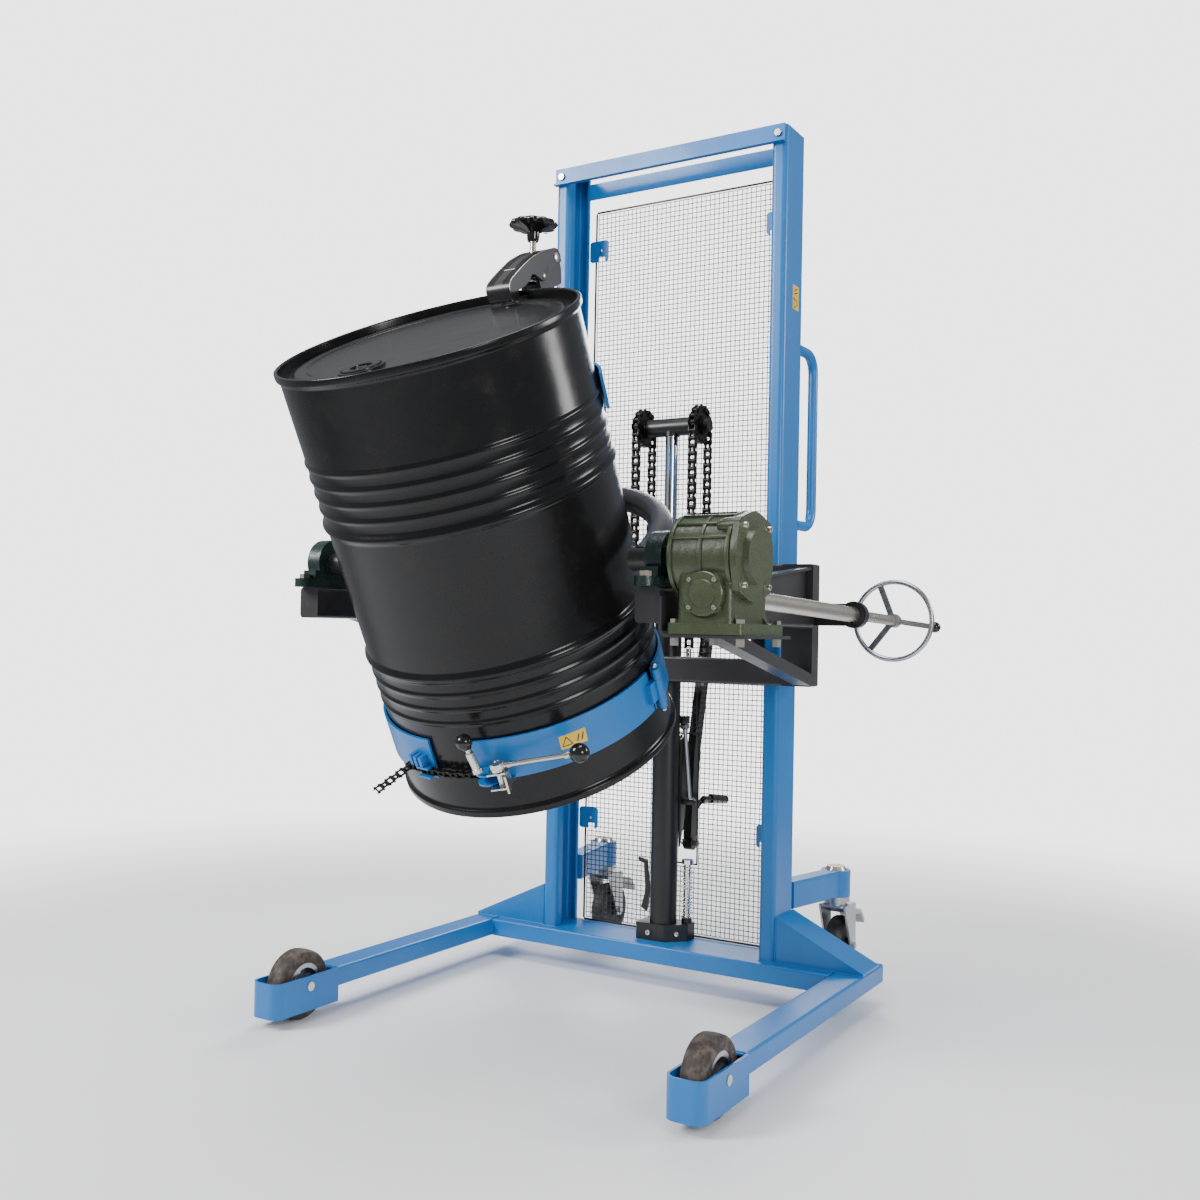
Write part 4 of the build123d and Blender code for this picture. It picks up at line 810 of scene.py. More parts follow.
class LIFTER_OT_guard(bpy.types.Operator):
    """Weave the wire guard and its edge strips."""

    bl_idname = "lifter.guard"
    bl_label = "Wire guard"

    def execute(self, context):
        settings = context.scene.lifter_guard
        pitch = settings.pitch / MM
        across = int(2 * (GUARD_HALF - 6) // pitch) + 1
        up = int((GUARD_HIGH - GUARD_LOW - 12) // pitch) + 1
        corner = Vector((-(across - 1) * pitch / 2, GUARD_Y,
                         (GUARD_LOW + GUARD_HIGH) / 2 - (up - 1) * pitch / 2))
        x0, x1, z0, z1 = LINK_WINDOW
        low = (Vector((x0 - 4, GUARD_Y - 50, z0 - 4)) - corner) * MM
        high = (Vector((x1 + 4, GUARD_Y + 50, z1 + 4)) - corner) * MM
        mesh = grow("guard_wire", bpy.data.meshes.new("seed"), trees["woven"], {
            "Across": across, "Up": up, "Pitch": settings.pitch, "Gauge": settings.gauge,
            "Window Low": low, "Window High": high, "Material": finishes["black_mesh"]})
        mesh.transform(Matrix.Translation(ON_MACHINE @ corner))
        settle(mesh, "guard_wire", "chassis", "black_mesh", replaced=["guard_mesh"], sharp=60)
        bars = [(x, x + 5, GUARD_LOW + 5, GUARD_HIGH - 5) for x in (-GUARD_HALF, GUARD_HALF - 5)]
        bars += [(3 - GUARD_HALF, GUARD_HALF - 3, z, z + 5) for z in (GUARD_LOW, GUARD_HIGH - 5)]
        bars += [(x, x + 4, z0 - 5, z1 + 5) for x in (x0 - 5, x1 + 1)]
        bars += [(x0 - 4, x1 + 4, z, z + 4) for z in (z0 - 5, z1 + 1)]
        strips = Shape()
        for left, right, bottom, top in bars:
            strips.block((left, GUARD_Y - 1, bottom), (right, GUARD_Y + 1, top), 0.3)
        strips.settle("guard_edging", ON_MACHINE, "chassis", "black_mesh")
        return {"FINISHED"}


def link_plate(pitch, tall, waist):
    """The outline of a chain link's side plate, pins at plus and minus half a pitch."""
    end = [(tall / 2 * math.cos(a), tall / 2 * math.sin(a) + pitch / 2)
           for a in (math.radians(x) for x in range(-20, 201, 44))]
    lower = [(-x, -z) for x, z in end]
    return end + [(-waist / 2, 0)] + lower + [(waist / 2, 0)]


def make_links(settings, name, size=1.0, pegs=0.0):
    """The outer and inner link of a chain. Pegs are long pin ends, as on a tightening chain."""
    pitch, width = settings.pitch / MM * size, settings.width / MM * size
    tall, waist, thick, pin, roll = (size * part for part in (15, 10.5, 2.2, 2.9, 5.6))
    plate = link_plate(pitch, tall, waist)
    outer, inner = Shape(), Shape()
    for side in (-1, 1):
        for shape, out in ((outer, width / 2 - 1.4 * size), (inner, width / 2 - 1.6 * size - thick)):
            low, high = sorted((side * out, side * (out - thick)))
            shape.prism(plate, low, high, ALONG_PIN)
    reach = width / 2 + pegs
    for z in (-pitch / 2, pitch / 2):
        seat = Matrix.Translation((0, 0, z)) @ ALONG_X
        outer.lathe([(0, -reach), (pin, -reach), (pin, reach), (0, reach)], seat, 10)
        inside = width / 2 - 4.6 * size
        inner.lathe([(0, -inside), (roll, -inside), (roll, inside), (0, inside)], seat, 12)
    for kind, shape in (("outer", outer), ("inner", inner)):
        heads[f"{name}_{kind}"] = stand_in(shape, f"{name}_{kind}", TO_METRES)


def chain(name, points, links, pin, kind, place=ON_MACHINE):
    """A chain's mesh along straight runs between points."""
    return grow(name, path_curve(points, place), trees["chain"], {
        "Links": links, "Outer": heads[kind + "_outer"], "Inner": heads[kind + "_inner"],
        "Pin": place.to_3x3().normalized() @ Vector(pin), "Material": finishes["black_chain"]})


def joined(name, meshes):
    """Several meshes as one."""
    whole = bmesh.new()
    for mesh in meshes:
        whole.from_mesh(mesh)
    made = bpy.data.meshes.new(name)
    whole.to_mesh(made)
    whole.free()
    made.materials.append(meshes[0].materials[0])
    return made


class LIFTER_OT_chains(bpy.types.Operator):
    """Hang the two lift chains, wrap them round the sprockets and lay the tightening chain."""

    bl_idname = "lifter.chains"
    bl_label = "Chains"

    def execute(self, context):
        settings = context.scene.lifter_chain
        make_links(settings, "lift")
        pitch = settings.pitch / MM
        tooth = math.pi * 2 / TEETH
        radius = pitch / (2 * math.sin(tooth / 2))
        strands = {"front": [], "rear": [], "wrap": []}
        ends = (("front", CHAIN_Y - radius, "carriage", FRONT_ANCHOR_Z),
                ("rear", CHAIN_Y + radius, "chassis", REAR_ANCHOR_Z))
        for x in (-CHAIN_X, CHAIN_X):
            for name, y, _, anchor in ends:
                links = int((HEAD_Z - anchor) // pitch)
                run = [(x, y, HEAD_Z - (links - 0.5) * pitch), (x, y, HEAD_Z - pitch / 2)]
                strands[name].append(chain(name, run, links, (1, 0, 0), "lift"))
            arc = [(x, CHAIN_Y - radius * math.cos(tooth * (step + 0.5)),
                    HEAD_Z + radius * math.sin(tooth * (step + 0.5))) for step in range(TEETH // 2)]
            strands["wrap"].append(chain("wrap", arc, TEETH // 2, (1, 0, 0), "lift"))
        for name, _, body, anchor in ends:
            whole = f"lift_chain_{name}"
            piece = settle(joined(whole, strands[name]), whole, None, "black_chain",
                           replaced=[f"lift_chains_{name}"], sharp=35)
            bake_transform(piece)
        settle(joined("lift_chain_wrap", strands["wrap"]), "lift_chain_wrap", "ram", "black_chain",
               sharp=35)

        make_links(settings, "tight", SMALL_CHAIN, pegs=2.2)
        small = pitch * SMALL_CHAIN
        level, lap = BAND_LOW + 18, BAND_OUT + 6
        first, sweep = 10.5, 31
        laid = [(*polar(lap, first - sweep * step / 40), level) for step in range(41)]
        length = math.radians(sweep) * lap
        start = Vector((*polar(lap, first - sweep), level))
        end = start + Vector((-80, -27, -46))
        hung = [tuple(start), tuple(end)]
        meshes = [chain("laid", laid, int(length // small), (0, 0, 1), "tight", ON_DRUM),
                  chain("hung", hung, int((end - start).length // small), (0.3, 0, 1), "tight", ON_DRUM)]
        settle(joined("tightening_chain", meshes), "tightening_chain", "jaw_left", "black_chain",
               replaced=["tension_chain"], sharp=35)
        return {"FINISHED"}


class LIFTER_OT_spring(bpy.types.Operator):
    """Wind the pump spring."""

    bl_idname = "lifter.spring"
    bl_label = "Pump spring"

    def execute(self, context):
        low, tall = 154.5, 131
        mesh = grow("pump_spring", bpy.data.meshes.new("seed"), trees["coil"], {
            "Turns": 17.0, "Radius": 11.6 * MM, "Height": tall * MM, "Wire": 3.2 * MM,
            "Material": finishes["chrome"]})
        mesh.transform(Matrix.Translation(ON_MACHINE @ Vector((*PLUNGER, low))))
        piece = settle(mesh, "pump_spring", None, "chrome", replaced=["plunger_spring"], sharp=60)
        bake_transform(piece)
        return {"FINISHED"}


class LIFTER_OT_wheels(bpy.types.Operator):
    """Turn the front tyres and the casters' treads."""

    bl_idname = "lifter.wheels"
    bl_label = "Wheels"

    def execute(self, context):
        for side, name in ((-1, "left"), (1, "right")):
            x, y, z = FRONT_WHEEL
            seat = local((side * x, y, z)) @ ALONG_X
            tyre = Shape()
            outline = [(48, -24), (66, -25), (71, -23), (74.6, -18), (75.7, -9), (76, 0), (75.7, 9),
                       (74.6, 18), (71, 23), (66, 25), (48, 24)]
            tyre.lathe(outline, steps=72, loop=True)
            tyre.settle(f"tyre_{name}", seat, f"front_wheel_{name}", "tyre_rubber",
                        replaced=[f"front_tyre_{name}"])
            x, y, z = CASTER
            seat = local((side * x, y + CASTER_TRAIL, z)) @ ALONG_X
            roller = Shape()
            half = rounded([(8.2, -27.5), (17.5, -27.5), (18, -16.5), (44, -14), (49, -19.5), (60, -20),
                            (68, -18.5), (71.3, -12), (72, 0)], 3)
            outline = half + [(r, -w) for r, w in reversed(half[:-1])]
            roller.lathe(outline, steps=64, loop=True)
            roller.settle(f"caster_tread_{name}", seat, f"caster_roller_{name}", "caster_tyre",
                          replaced=[f"caster_wheel_{name}"])
        return {"FINISHED"}


class LIFTER_OT_gearbox(bpy.types.Operator):
    """Add the casting's ribs, lugs, webs and plugs to the worm gearbox."""

    bl_idname = "lifter.gearbox"
    bl_label = "Gearbox casting"

    def execute(self, context):
        casting = Shape()
        on_axis = Matrix.Translation((0, TRUNNION_Y, TRUNNION_Z))
        for x, radius in ((CASE_LEFT + 4, 78), (CASE_RIGHT - 6, 82), (CASE_LEFT + 62, 77)):
            outline = ring_outline(70, radius, x - 4, x + 4, 1.6)
            casting.lathe(outline, on_axis @ ALONG_X, 72, loop=True)
        for angle in (24, 48, 72, 96, 120, 144):
            turn = on_axis @ Matrix.Rotation(math.radians(-angle), 4, "X")
            casting.block((CASE_LEFT + 6, -78.5, -2.6), (CASE_RIGHT - 6, -70, 2.6), 1.2, turn)
        for dy, dz in corners_at(LUG_OUT):
            seat = Matrix.Translation((CASE_RIGHT - 34, TRUNNION_Y + dy, TRUNNION_Z + dz)) @ ALONG_X
            casting.lathe([(0, 0), (9, 0), (13.5, 14), (14.5, 30), (14.5, 46.5), (13, 48), (0, 48)],
                          seat, 24)
        on_worm = Matrix.Translation((WORM_X, 0, WORM_Z)) @ ALONG_MINUS_Y
        casting.lathe([(0, -CASE_BACK), (44, -CASE_BACK), (46, -CASE_BACK + 6), (46, -CASE_FRONT - 6),
                       (43, -CASE_FRONT), (0, -CASE_FRONT)], on_worm, 56)
        for dx, dz in corners_at(CAP_SCREW_OUT):
            seat = Matrix.Translation((WORM_X + dx, CASE_FRONT + 6, WORM_Z + dz)) @ ALONG_MINUS_Y
            casting.lathe([(0, 0), (9.5, 0), (9.5, 16), (8.5, 17.4), (0, 17.4)], seat, 20)
        cover = [(0, 0), (39, 0), (39, 11), (37, 13), (25, 13), (23, 16), (14, 16.5), (0, 16.5)]
        casting.lathe([(r, h - CASE_FRONT) for r, h in cover], on_worm, 56)
        wall, turns = CASE_RIGHT - 6, [math.radians(a) for a in range(0, 91, 15)]
        web = [(wall, FOOT_TOP - 2)]
        web += [(wall + 20 * (1 - math.sin(a)), FOOT_TOP + 48 * (1 - math.cos(a))) for a in turns]
        for y in (-790, -668):
            casting.prism(web, -y - 4, -y + 4, ALONG_MINUS_Y)
        casting.settle("gearbox_ribs", ON_MACHINE, "carriage", "gearbox_green", sharp=38)
        ring = Shape()
        ring.lathe(ring_outline(22.6, 37, 433.5, 453.5, 2.0), ALONG_X, 56, loop=True)
        ring.settle("coupling_ring", ON_WHEEL_AXIS, "carriage", "black_paint")
        return {"FINISHED"}


class LIFTER_OT_ratchet(bpy.types.Operator):
    """Make the tightening ratchet's lever and release, with their ball grips."""

    bl_idname = "lifter.ratchet"
    bl_label = "Ratchet levers"

    def execute(self, context):
        place = ON_DRUM @ round_drum(322, 22, BAND_LOW + 46, 24)
        lever = Shape()
        lever.lathe(ring_outline(6.2, 14, -8, 8, 1.2), steps=40, loop=True)
        stem = [(0, 12), (6.5, 12), (6.5, 24), (5, 27), (4.4, 70), (4.4, 128), (6.6, 129), (6.6, 137),
                (5, 139), (0, 139)]
        lever.lathe(stem, ALONG_X, 24)
        lever.settle("ratchet_rod", place, "lever", "zinc", replaced=["ratchet_lever"])
        ball = Shape()
        ball.ball((157, 0, 0), 19, 36)
        ball.settle("ratchet_ball", place, "lever", "black_plastic")
        place = ON_DRUM @ round_drum(328, 15.5, BAND_LOW + 44, -12, "Y")
        tube = Shape()
        tube.lathe([(0, -3), (10, -3), (10, 5), (8, 6), (8, 38), (5, 40), (5, 46), (7, 47), (7, 51),
                    (0, 51)], steps=28)
        tube.settle("release_stem", place, "pawl", "zinc", replaced=["pawl_lever"])
        cap = Shape()
        cap.lathe([(0, 47), (9, 47), (10.5, 50), (15, 55), (16, 62), (14.5, 69), (10, 74.5), (5, 76),
                   (0, 76)], steps=36)
        cap.settle("release_ball", place, "pawl", "black_plastic")
        return {"FINISHED"}


class LIFTER_OT_hook(bpy.types.Operator):
    """Shape the rim hook's channel, its pins, the threaded spindle and the star knob."""

    bl_idname = "lifter.hook"
    bl_label = "Rim hook"

    def execute(self, context):
        top = rounded([(468, 484), (469, 506), (456, 515), (410, 520), (360, 517), (305, 505), (264, 493),
                       (253, 480), (257, 456)], 14, 6)
        crown = top + [(282, 456), (282, 468.5), (312, 469)]
        cheek = crown + rounded([(312, 469), (332, 477), (350, 488), (366, 476), (384, 460), (402, 464),
                                 (424, 478), (452, 480), (468, 484)], 10)[1:-1]
        arm = Shape()
        for side in (-1, 1):
            low, high = sorted((side * 24.6, side * 29.0))
            arm.prism(cheek, low, high, ALONG_PIN, 0.8)
        nose = crown + [(312, 469), (305, 485)]
        arm.prism(nose, -25.5, 25.5, ALONG_PIN, 0.6)
        plate = top[:-8] + [(y - 0.4, z - 5) for y, z in reversed(top[2:-8])]
        for low, high in ((-25.5, -9.5), (9.5, 25.5)):
            arm.prism(plate, low, high, ALONG_PIN, 0.4)
        arm.settle("hook_channel", ON_DRUM, "rim_hook", "dark_grey_paint", replaced=["hook_arm"],
                   sharp=35)
        wear = Shape()
        for x in (-28.7, 28.7):
            wear.tube([(x, y, z) for y, z in top[2:-1]], 0.75, 8)
        wear.settle("hook_edge_wear", ON_DRUM, "rim_hook", "zinc", sharp=60)
        pins = Shape()
        for place, radius in (((0, 452, 496), 10.5), (BOLT_PIN, 5.5)):
            seat = Matrix.Translation(place) @ ALONG_X
            pins.lathe([(0, -31.4), (radius - 1, -31.4), (radius, -30.6), (radius, 30.6),
                        (radius - 1, 31.4), (0, 31.4)], seat, 28)
        pins.settle("hook_pins", ON_DRUM, "rim_hook", "zinc")
        on_bolt = Matrix.Translation(ON_DRUM @ Vector(BOLT_PIN)) @ TO_METRES
        thread = Shape()
        for turn in range(24):
            height = 26 + 2.2 * turn
            thread.lathe([(5.4, height - 1.1), (7.2, height), (5.4, height + 1.1)], steps=20)
        thread.lathe([(0, STAR_HEIGHT + 14), (7, STAR_HEIGHT + 14), (7, STAR_HEIGHT + 20),
                      (0, STAR_HEIGHT + 21)], steps=20)
        thread.settle("spindle_thread", on_bolt, "bolt", "zinc")
        self.knob().settle("star_knob", on_bolt, "star", "black_plastic", replaced=["star_nut"], sharp=50)
        return {"FINISHED"}

    @staticmethod
    def knob(lobes=12, steps=144):
        """The star knob: a dished disc on a hub, with finger lobes round its rim."""
        profile = [(6.6, -28, 0), (11, -28, 0), (12.5, -24, 0), (14, -10, 0), (24, -4, 0), (44, 0, 1),
                   (48, 2, 1), (50.5, 7, 1), (48, 12, 1), (44, 13.5, 1), (36, 9, 0), (16, 6, 0),
                   (13, 12, 0), (6.6, 12, 0)]
        shape, rings = Shape(), []
        for radius, height, lobed in profile:
            ring = []
            for step in range(steps):
                turn = 2 * math.pi * step / steps
                reach = radius + lobed * (1.9 * math.cos(lobes * turn) - 1.0)
                ring.append((reach * math.cos(turn), reach * math.sin(turn), STAR_HEIGHT + height))
            rings.append(shape.add(ring, []))
        shape.skin(rings, loop=True)
        return shape


class LIFTER_OT_pump(bpy.types.Operator):
    """Add the pump's lever bracket, link rod and pins, and the clamp's welded block."""

    bl_idname = "lifter.pump"
    bl_label = "Pump linkage"

    def execute(self, context):
        rod = Shape()
        x, y = PLUNGER
        low_end, high_end = (x + 1, y + 4, 446), (x - 14, y - 2, 634)
        rod.tube([low_end, high_end], 5.5, 16)
        for end, reach in ((low_end, 10), (high_end, 9)):
            seat = Matrix.Translation(end) @ ALONG_X
            rod.lathe([(0, -reach), (8.5, -reach), (9, 0), (8.5, reach), (0, reach)], seat, 24)
        rod.settle("pump_link_rod", ON_MACHINE, "chassis", "caster_steel")
        plate = Shape()
        sides = [(y + 16, 612), (y + 20, 470), (y + 12, 402), (y - 12, 330), (y - 15, 330), (y - 18, 420),
                 (y - 18, 600)]
        for low in (x - 32, x - 20):
            plate.prism(sides, low, low + 4, ALONG_PIN, 0.8)
        plate.block((x - 34, y - 14, 640), (x - 6, y + 12, 660), 2)
        plate.block((x - 34, y - 6, 436), (x + 18, y + 8, 450), 2)
        plate.settle("pump_bracket", ON_MACHINE, "chassis", "black_paint")
        grip = Shape()
        grip.tube([(62.6, 190, 441.4), (62.7, 196, 440.6), (63.6, 270, 432.1), (63.7, 276, 431.4)],
                  11.5, 20)
        grip.settle("pedal_grip", ON_MACHINE, "pedal", "black_plastic")
        latch = Shape()
        middle, gap = -13.6, 2.6
        for angle in (middle + gap, middle, middle - gap):
            seat = round_drum(BAND_OUT + 6, angle, BAND_LOW + 26, angle)
            latch.block((-4.2, -11, 4), (4.2, 9, 26), 1.4, seat)
        seat = round_drum(BAND_OUT + 6, middle, BAND_LOW + 26, middle)
        latch.block((-17, -5, 6), (17, 8, 18), 1.4, seat)
        latch.settle("chain_latch", ON_DRUM, "jaw_left", "blue_paint")
        return {"FINISHED"}


def weld(name, runs, leg, body, slot, place=ON_MACHINE):
    """One piece of weld beads along runs of points."""
    beads = [grow(name, path_curve(points, place), trees["weld"],
                  {"Leg": leg * MM, "Material": finishes[slot]}) for points in runs]
    return settle(joined(name, beads), name, body, slot, sharp=70)


class LIFTER_OT_welds(bpy.types.Operator):
    """Lay the weld beads where the tubes and plates meet."""

    bl_idname = "lifter.welds"
    bl_label = "Welds"

    def execute(self, context):
        deck, legs, half = 98.4, 470.0, MAST_HALF
        base = []
        for side in (-1, 1):
            outer, inner = side * half, side * (half - FLANGE)
            base.append([(inner, 1, deck), (outer, -0.5, deck), (outer + side * 0.8, 8, deck)])
            base.append([(side * legs, -20, deck), (side * legs, 128, deck)])
            base.append([(side * legs, -22.5, 60), (side * legs, -22.5, 96)])
            base.append([(side * (half + 2), 7.5, deck), (side * 538, 7.5, deck)])
            base.append([(outer + side, 7.5, deck + 2), (outer + side, 7.5, deck + 104)])
            base.append([(side * 465, -622.5, 98.6), (side * 545, -622.5, 98.6)])
            base.append([(side * (half - 8), MAST_DEPTH + 0.6, z) for z in (212, 262)])
        weld("base_welds", base, 2.2, "chassis", "blue_paint")
        arms = []
        for side in (-1, 1):
            for z in (886.5, 952.5):
                arms.append([(side * 388, -56.5, z), (side * 432, -56.5, z)])
            for z in (754, 812, 973, 1031):
                arms.append([(side * 354.6, -54, z), (side * 354.6, -18, z)])
        weld("carriage_welds", arms, 1.8, "carriage", "dark_grey_paint")
        clamp = [[(*polar(BAND_OUT + 1, angle + off), BAND_LOW + up) for up in (1, 21)]
                 for angle in (STRAP_HINGE, -STRAP_HINGE) for off in (-2.2, 2.2)]
        weld("clamp_welds", clamp, 1.4, "cradle", "blue_paint", ON_DRUM)
        return {"FINISHED"}


class LIFTER_OT_labels(bpy.types.Operator):
    """Stick the plain labels on the clamp band, the mast and the hook."""

    bl_idname = "lifter.labels"
    bl_label = "Labels"

    def execute(self, context):
        yellow, black, white = (moulded(name, colour, 0.34) for name, colour in (
            ("yellow_label", (0.80, 0.50, 0.02)), ("label_ink", (0.012, 0.012, 0.012)),
            ("white_label", (0.75, 0.75, 0.74))))

        def wrap(points, lift):
            return [(*polar(BAND_OUT + lift, 50 + x / BAND_OUT * 180 / math.pi), BAND_LOW + 45 + y)
                    for x, y in points]

        def upright(points, lift):
            return [(MAST_HALF + lift, 69 + y, 1683 + x) for x, y in points]

        columns = 12
        for name, across, tall, bend, body, place in (("band", 54, 28, wrap, "jaw_right", ON_DRUM),
                                                      ("mast", 58, 36, upright, "chassis", ON_MACHINE)):
            sheet, ink = Shape(), Shape()
            for shape, outlines, lift in (
                    (sheet, [[(-across / 2, -tall / 2), (across / 2, -tall / 2), (across / 2, tall / 2),
                              (-across / 2, tall / 2)]], 0.25),
                    (ink, self.marks(across, tall), 0.40)):
                for (ax, ay), (bx, by), (cx, cy), (dx, dy) in outlines:
                    for step in range(columns):
                        t, u = step / columns, (step + 1) / columns
                        corners = [(ax + (bx - ax) * t, ay + (by - ay) * t),
                                   (ax + (bx - ax) * u, ay + (by - ay) * u),
                                   (dx + (cx - dx) * u, dy + (cy - dy) * u),
                                   (dx + (cx - dx) * t, dy + (cy - dy) * t)]
                        low, high = bend(corners, 0.02), bend(corners, lift)
                        shape.add(low + high, [(3, 2, 1, 0), (4, 5, 6, 7), (0, 1, 5, 4), (1, 2, 6, 5),
                                               (2, 3, 7, 6), (3, 0, 4, 7)])
            sheet.settle(f"{name}_label", place, body, "blue_paint", finish=yellow)
            ink.settle(f"{name}_label_marks", place, body, "black_plastic", finish=black)
        plate = Shape()
        slope = ON_DRUM @ Matrix.Translation((0, 333, 509.1)) @ Matrix.Rotation(math.radians(7.6), 4, "X")
        plate.block((-13, -22, -0.4), (13, 22, 0.35), 0.15)
        plate.settle("hook_label", slope, "rim_hook", "dark_grey_paint", finish=white)
        return {"FINISHED"}

    @staticmethod
    def marks(across, tall):
        """Four-sided strokes: an outlined triangle and two slanted bars."""
        size, x = tall * 0.36, -across * 0.24
        corners = [(x - size, -size * 0.8), (x + size, -size * 0.8), (x, size * 0.95)]
        strokes = []
        for (ax, ay), (bx, by) in zip(corners, corners[1:] + corners[:1]):
            length = math.hypot(bx - ax, by - ay)
            nx, ny = -(by - ay) / length * 0.9, (bx - ax) / length * 0.9
            strokes.append([(ax - nx, ay - ny), (bx - nx, by - ny), (bx + nx, by + ny),
                            (ax + nx, ay + ny)])
        for shift in (0, 9):
            left = across * 0.10 + shift
            strokes.append([(left, -size * 0.7), (left + 3, -size * 0.7), (left + 9, size * 0.7),
                            (left + 6, size * 0.7)])
        return strokes


class LIFTER_OT_fasteners(bpy.types.Operator):
    """Drive in the screws, bolts and plugs."""

    bl_idname = "lifter.fasteners"
    bl_label = "Fasteners"

    def execute(self, context):
        front, left, right = (0, -1, 0), (-1, 0, 0), (1, 0, 0)
        caps = [((CASE_RIGHT + 14, TRUNNION_Y + dy, TRUNNION_Z + dz), right, 11.0)
                for dy, dz in corners_at(LUG_OUT)]
        caps += [((WORM_X + dx, CASE_FRONT - 11.4, WORM_Z + dz), front, 8.5)
                 for dx, dz in corners_at(CAP_SCREW_OUT)]
        fasteners("gearbox_screws", heads["socket"], caps, "carriage", "zinc")
        tabs = [((x, GUARD_Y - 5, z), front, 9.0) for x in (-GUARD_TAB_X, GUARD_TAB_X)
                for z in GUARD_TAB_HEIGHTS]
        fasteners("guard_screws", heads["dome"], tabs, "chassis", "zinc")
        plugs = [((-20, 22, 118), front, 13.0), ((44, 44, 118), (0.7, -0.7, 0), 12.0),
                 ((-58, 66, 112), left, 12.0)]
        fasteners("pump_plugs", heads["socket"], plugs, "chassis", "zinc")
        pins = [((*polar(304, angle), z), (0, 0, way), 12.0) for angle in (STRAP_HINGE, -STRAP_HINGE)
                for z, way in ((BAND_HIGH + 6, 1), (BAND_LOW - 6, -1))]
        fasteners("clamp_pin_heads", heads["dome"], pins, "cradle", "zinc", ON_DRUM)
        return {"FINISHED"}


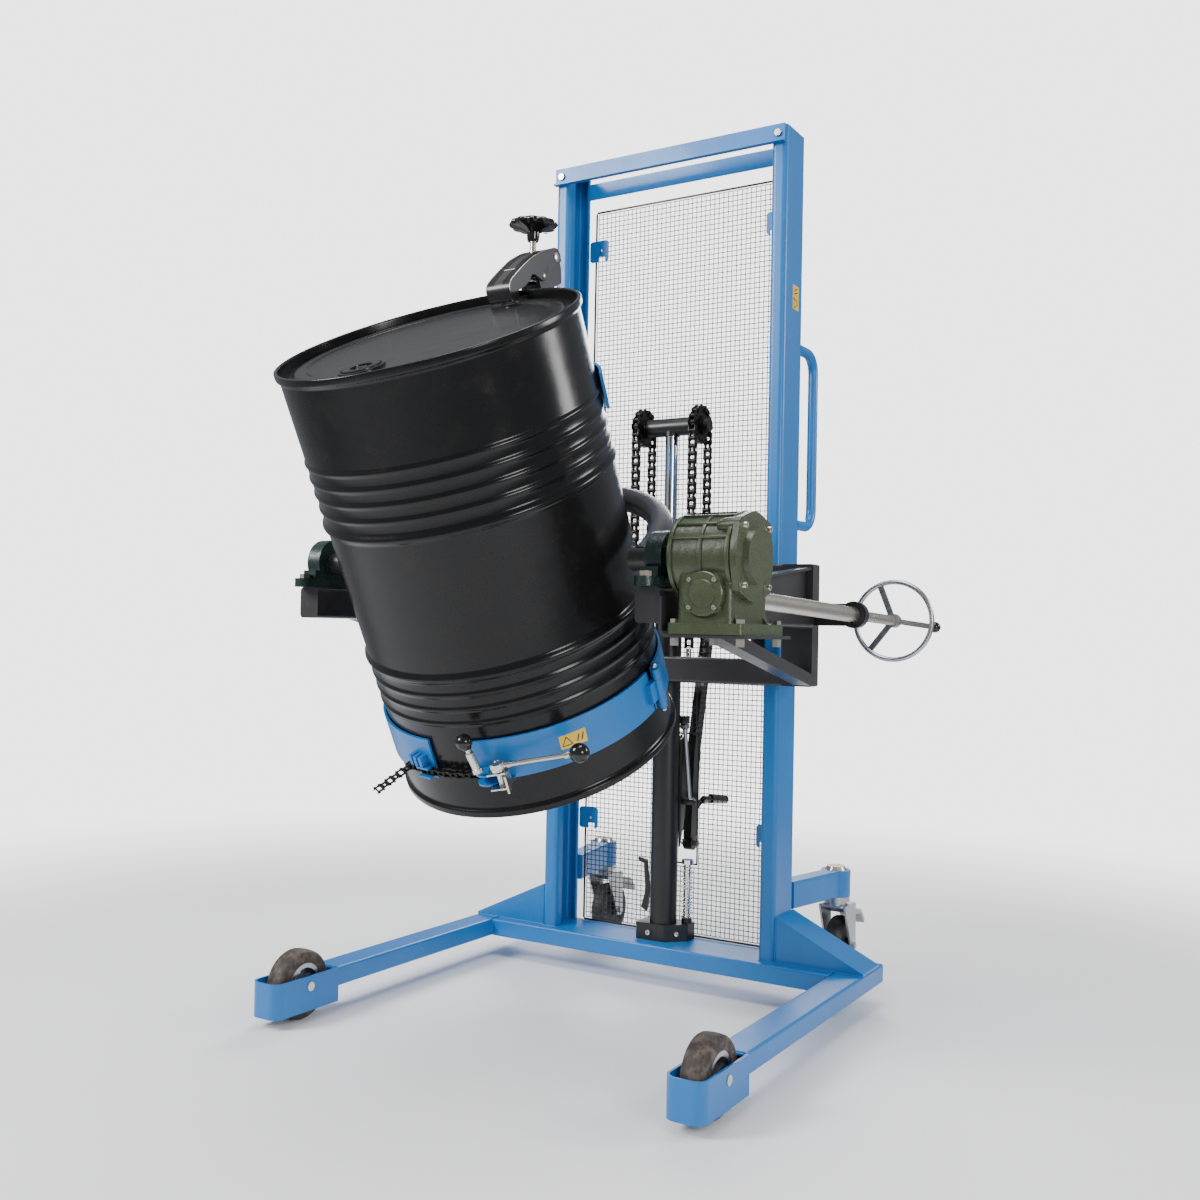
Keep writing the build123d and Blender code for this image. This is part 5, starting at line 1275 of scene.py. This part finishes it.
class LIFTER_OT_stage(bpy.types.Operator):
    """Set the floor, the soft lights and the camera."""

    bl_idname = "lifter.stage"
    bl_label = "Stage"

    def execute(self, context):
        floor = Shape()
        floor.add([(x * FLOOR_HALF, y * FLOOR_HALF, 0) for x, y in ((-1, -1), (1, -1), (1, 1), (-1, 1))],
                  [(0, 1, 2, 3)])
        mesh = floor.to_mesh("floor", local((0, 0, -0.4)))
        if mesh.polygons[0].normal.z < 0:
            mesh.flip_normals()
        ground = bpy.data.objects.new("floor", mesh)
        context.scene.collection.objects.link(ground)
        paint = Finish("pale_floor")
        away = paint.node("ShaderNodeVectorMath", {"operation": "LENGTH"}, {0: paint.place})
        fade = paint.mask(paint.value(away, "Value"), 3.6, 1.5)
        paint.feed(paint.shader.inputs["Alpha"], fade)
        mesh.materials.append(paint.finish((0.90, 0.90, 0.91), 0.6))

        world = bpy.data.worlds.new("studio")
        world.use_nodes = True
        sky = Graph(world.node_tree)
        lit = world.node_tree.nodes["Background"]
        lit.inputs["Color"].default_value = (0.90, 0.94, 1.0, 1.0)
        lit.inputs["Strength"].default_value = 0.34
        seen = sky.node("ShaderNodeBackground", {}, {"Color": (1, 1, 1, 1), "Strength": 3.2})
        ray = sky.node("ShaderNodeLightPath")
        shown = sky.node("ShaderNodeMixShader", {}, {0: ray.outputs["Is Camera Ray"], 1: lit, 2: seen})
        sky.feed(world.node_tree.nodes["World Output"].inputs["Surface"], shown)
        context.scene.world = world
        for name, spot, size, power in LAMPS:
            lamp = bpy.data.lights.new(name, "AREA")
            lamp.shape, lamp.size, lamp.energy = "DISK", size, power
            holder = bpy.data.objects.new(name, lamp)
            holder.location = ON_MACHINE @ Vector(spot)
            aim = ON_MACHINE @ Vector(LAMP_AIM) - holder.location
            holder.rotation_euler = aim.to_track_quat("-Z", "Y").to_euler()
            context.scene.collection.objects.link(holder)

        turn, tip, roll = (math.radians(a) for a in CAMERA_TURNS)
        ahead = Vector((-math.sin(turn) * math.cos(tip), math.cos(turn) * math.cos(tip), -math.sin(tip)))
        right = Vector((math.cos(turn), math.sin(turn), 0))
        down = ahead.cross(right)
        level_right = right * math.cos(roll) + down * math.sin(roll)
        level_up = right * math.sin(roll) - down * math.cos(roll)
        camera = bpy.data.objects.new("camera", bpy.data.cameras.new("camera"))
        facing = Matrix((level_right, level_up, -ahead)).transposed().to_4x4()
        camera.matrix_world = Matrix.Translation(ON_MACHINE @ Vector(CAMERA_PLACE)) @ facing
        camera.data.lens, camera.data.sensor_width = CAMERA_LENS, CAMERA_SENSOR
        camera.data.shift_x, camera.data.shift_y = CAMERA_SHIFT
        context.scene.collection.objects.link(camera)
        context.scene.camera = camera
        return {"FINISHED"}


class LIFTER_PT_panel(bpy.types.Panel):
    """Lists the lifter's settings and building steps."""

    bl_idname = "LIFTER_PT_panel"
    bl_label = "Drum Lifter"
    bl_space_type = "VIEW_3D"
    bl_region_type = "UI"
    bl_category = "Drum Lifter"

    def draw(self, context):
        for group in SETTINGS:
            settings = getattr(context.scene, group)
            for name in settings.bl_rna.properties.keys():
                if name not in {"rna_type", "name"}:
                    self.layout.prop(settings, name)
        for step in STEPS:
            self.layout.operator(step.bl_idname)


SETTINGS = {
    "lifter_finish": FinishSettings,
    "lifter_guard": GuardSettings,
    "lifter_chain": ChainSettings,
    "lifter_drum": DrumSettings,
}
STEPS = [
    LIFTER_OT_finishes, LIFTER_OT_drum, LIFTER_OT_guard, LIFTER_OT_chains, LIFTER_OT_spring,
    LIFTER_OT_wheels, LIFTER_OT_gearbox, LIFTER_OT_ratchet, LIFTER_OT_hook, LIFTER_OT_pump,
    LIFTER_OT_welds, LIFTER_OT_labels, LIFTER_OT_fasteners, LIFTER_OT_stage,
]


def register():
    """Add the settings, the operators and the panel."""
    for group, kind in SETTINGS.items():
        bpy.utils.register_class(kind)
        setattr(bpy.types.Scene, group, PointerProperty(type=kind))
    for kind in (*STEPS, LIFTER_PT_panel):
        bpy.utils.register_class(kind)


def unregister():
    """Remove them again."""
    for kind in (LIFTER_PT_panel, *reversed(STEPS)):
        bpy.utils.unregister_class(kind)
    for group, kind in SETTINGS.items():
        delattr(bpy.types.Scene, group)
        bpy.utils.unregister_class(kind)


def main():
    """Build everything in order."""
    register()
    for step in STEPS:
        group, name = step.bl_idname.split(".")
        getattr(getattr(bpy.ops, group), name)()
    drop_heads()


if __name__ == "__main__":
    main()
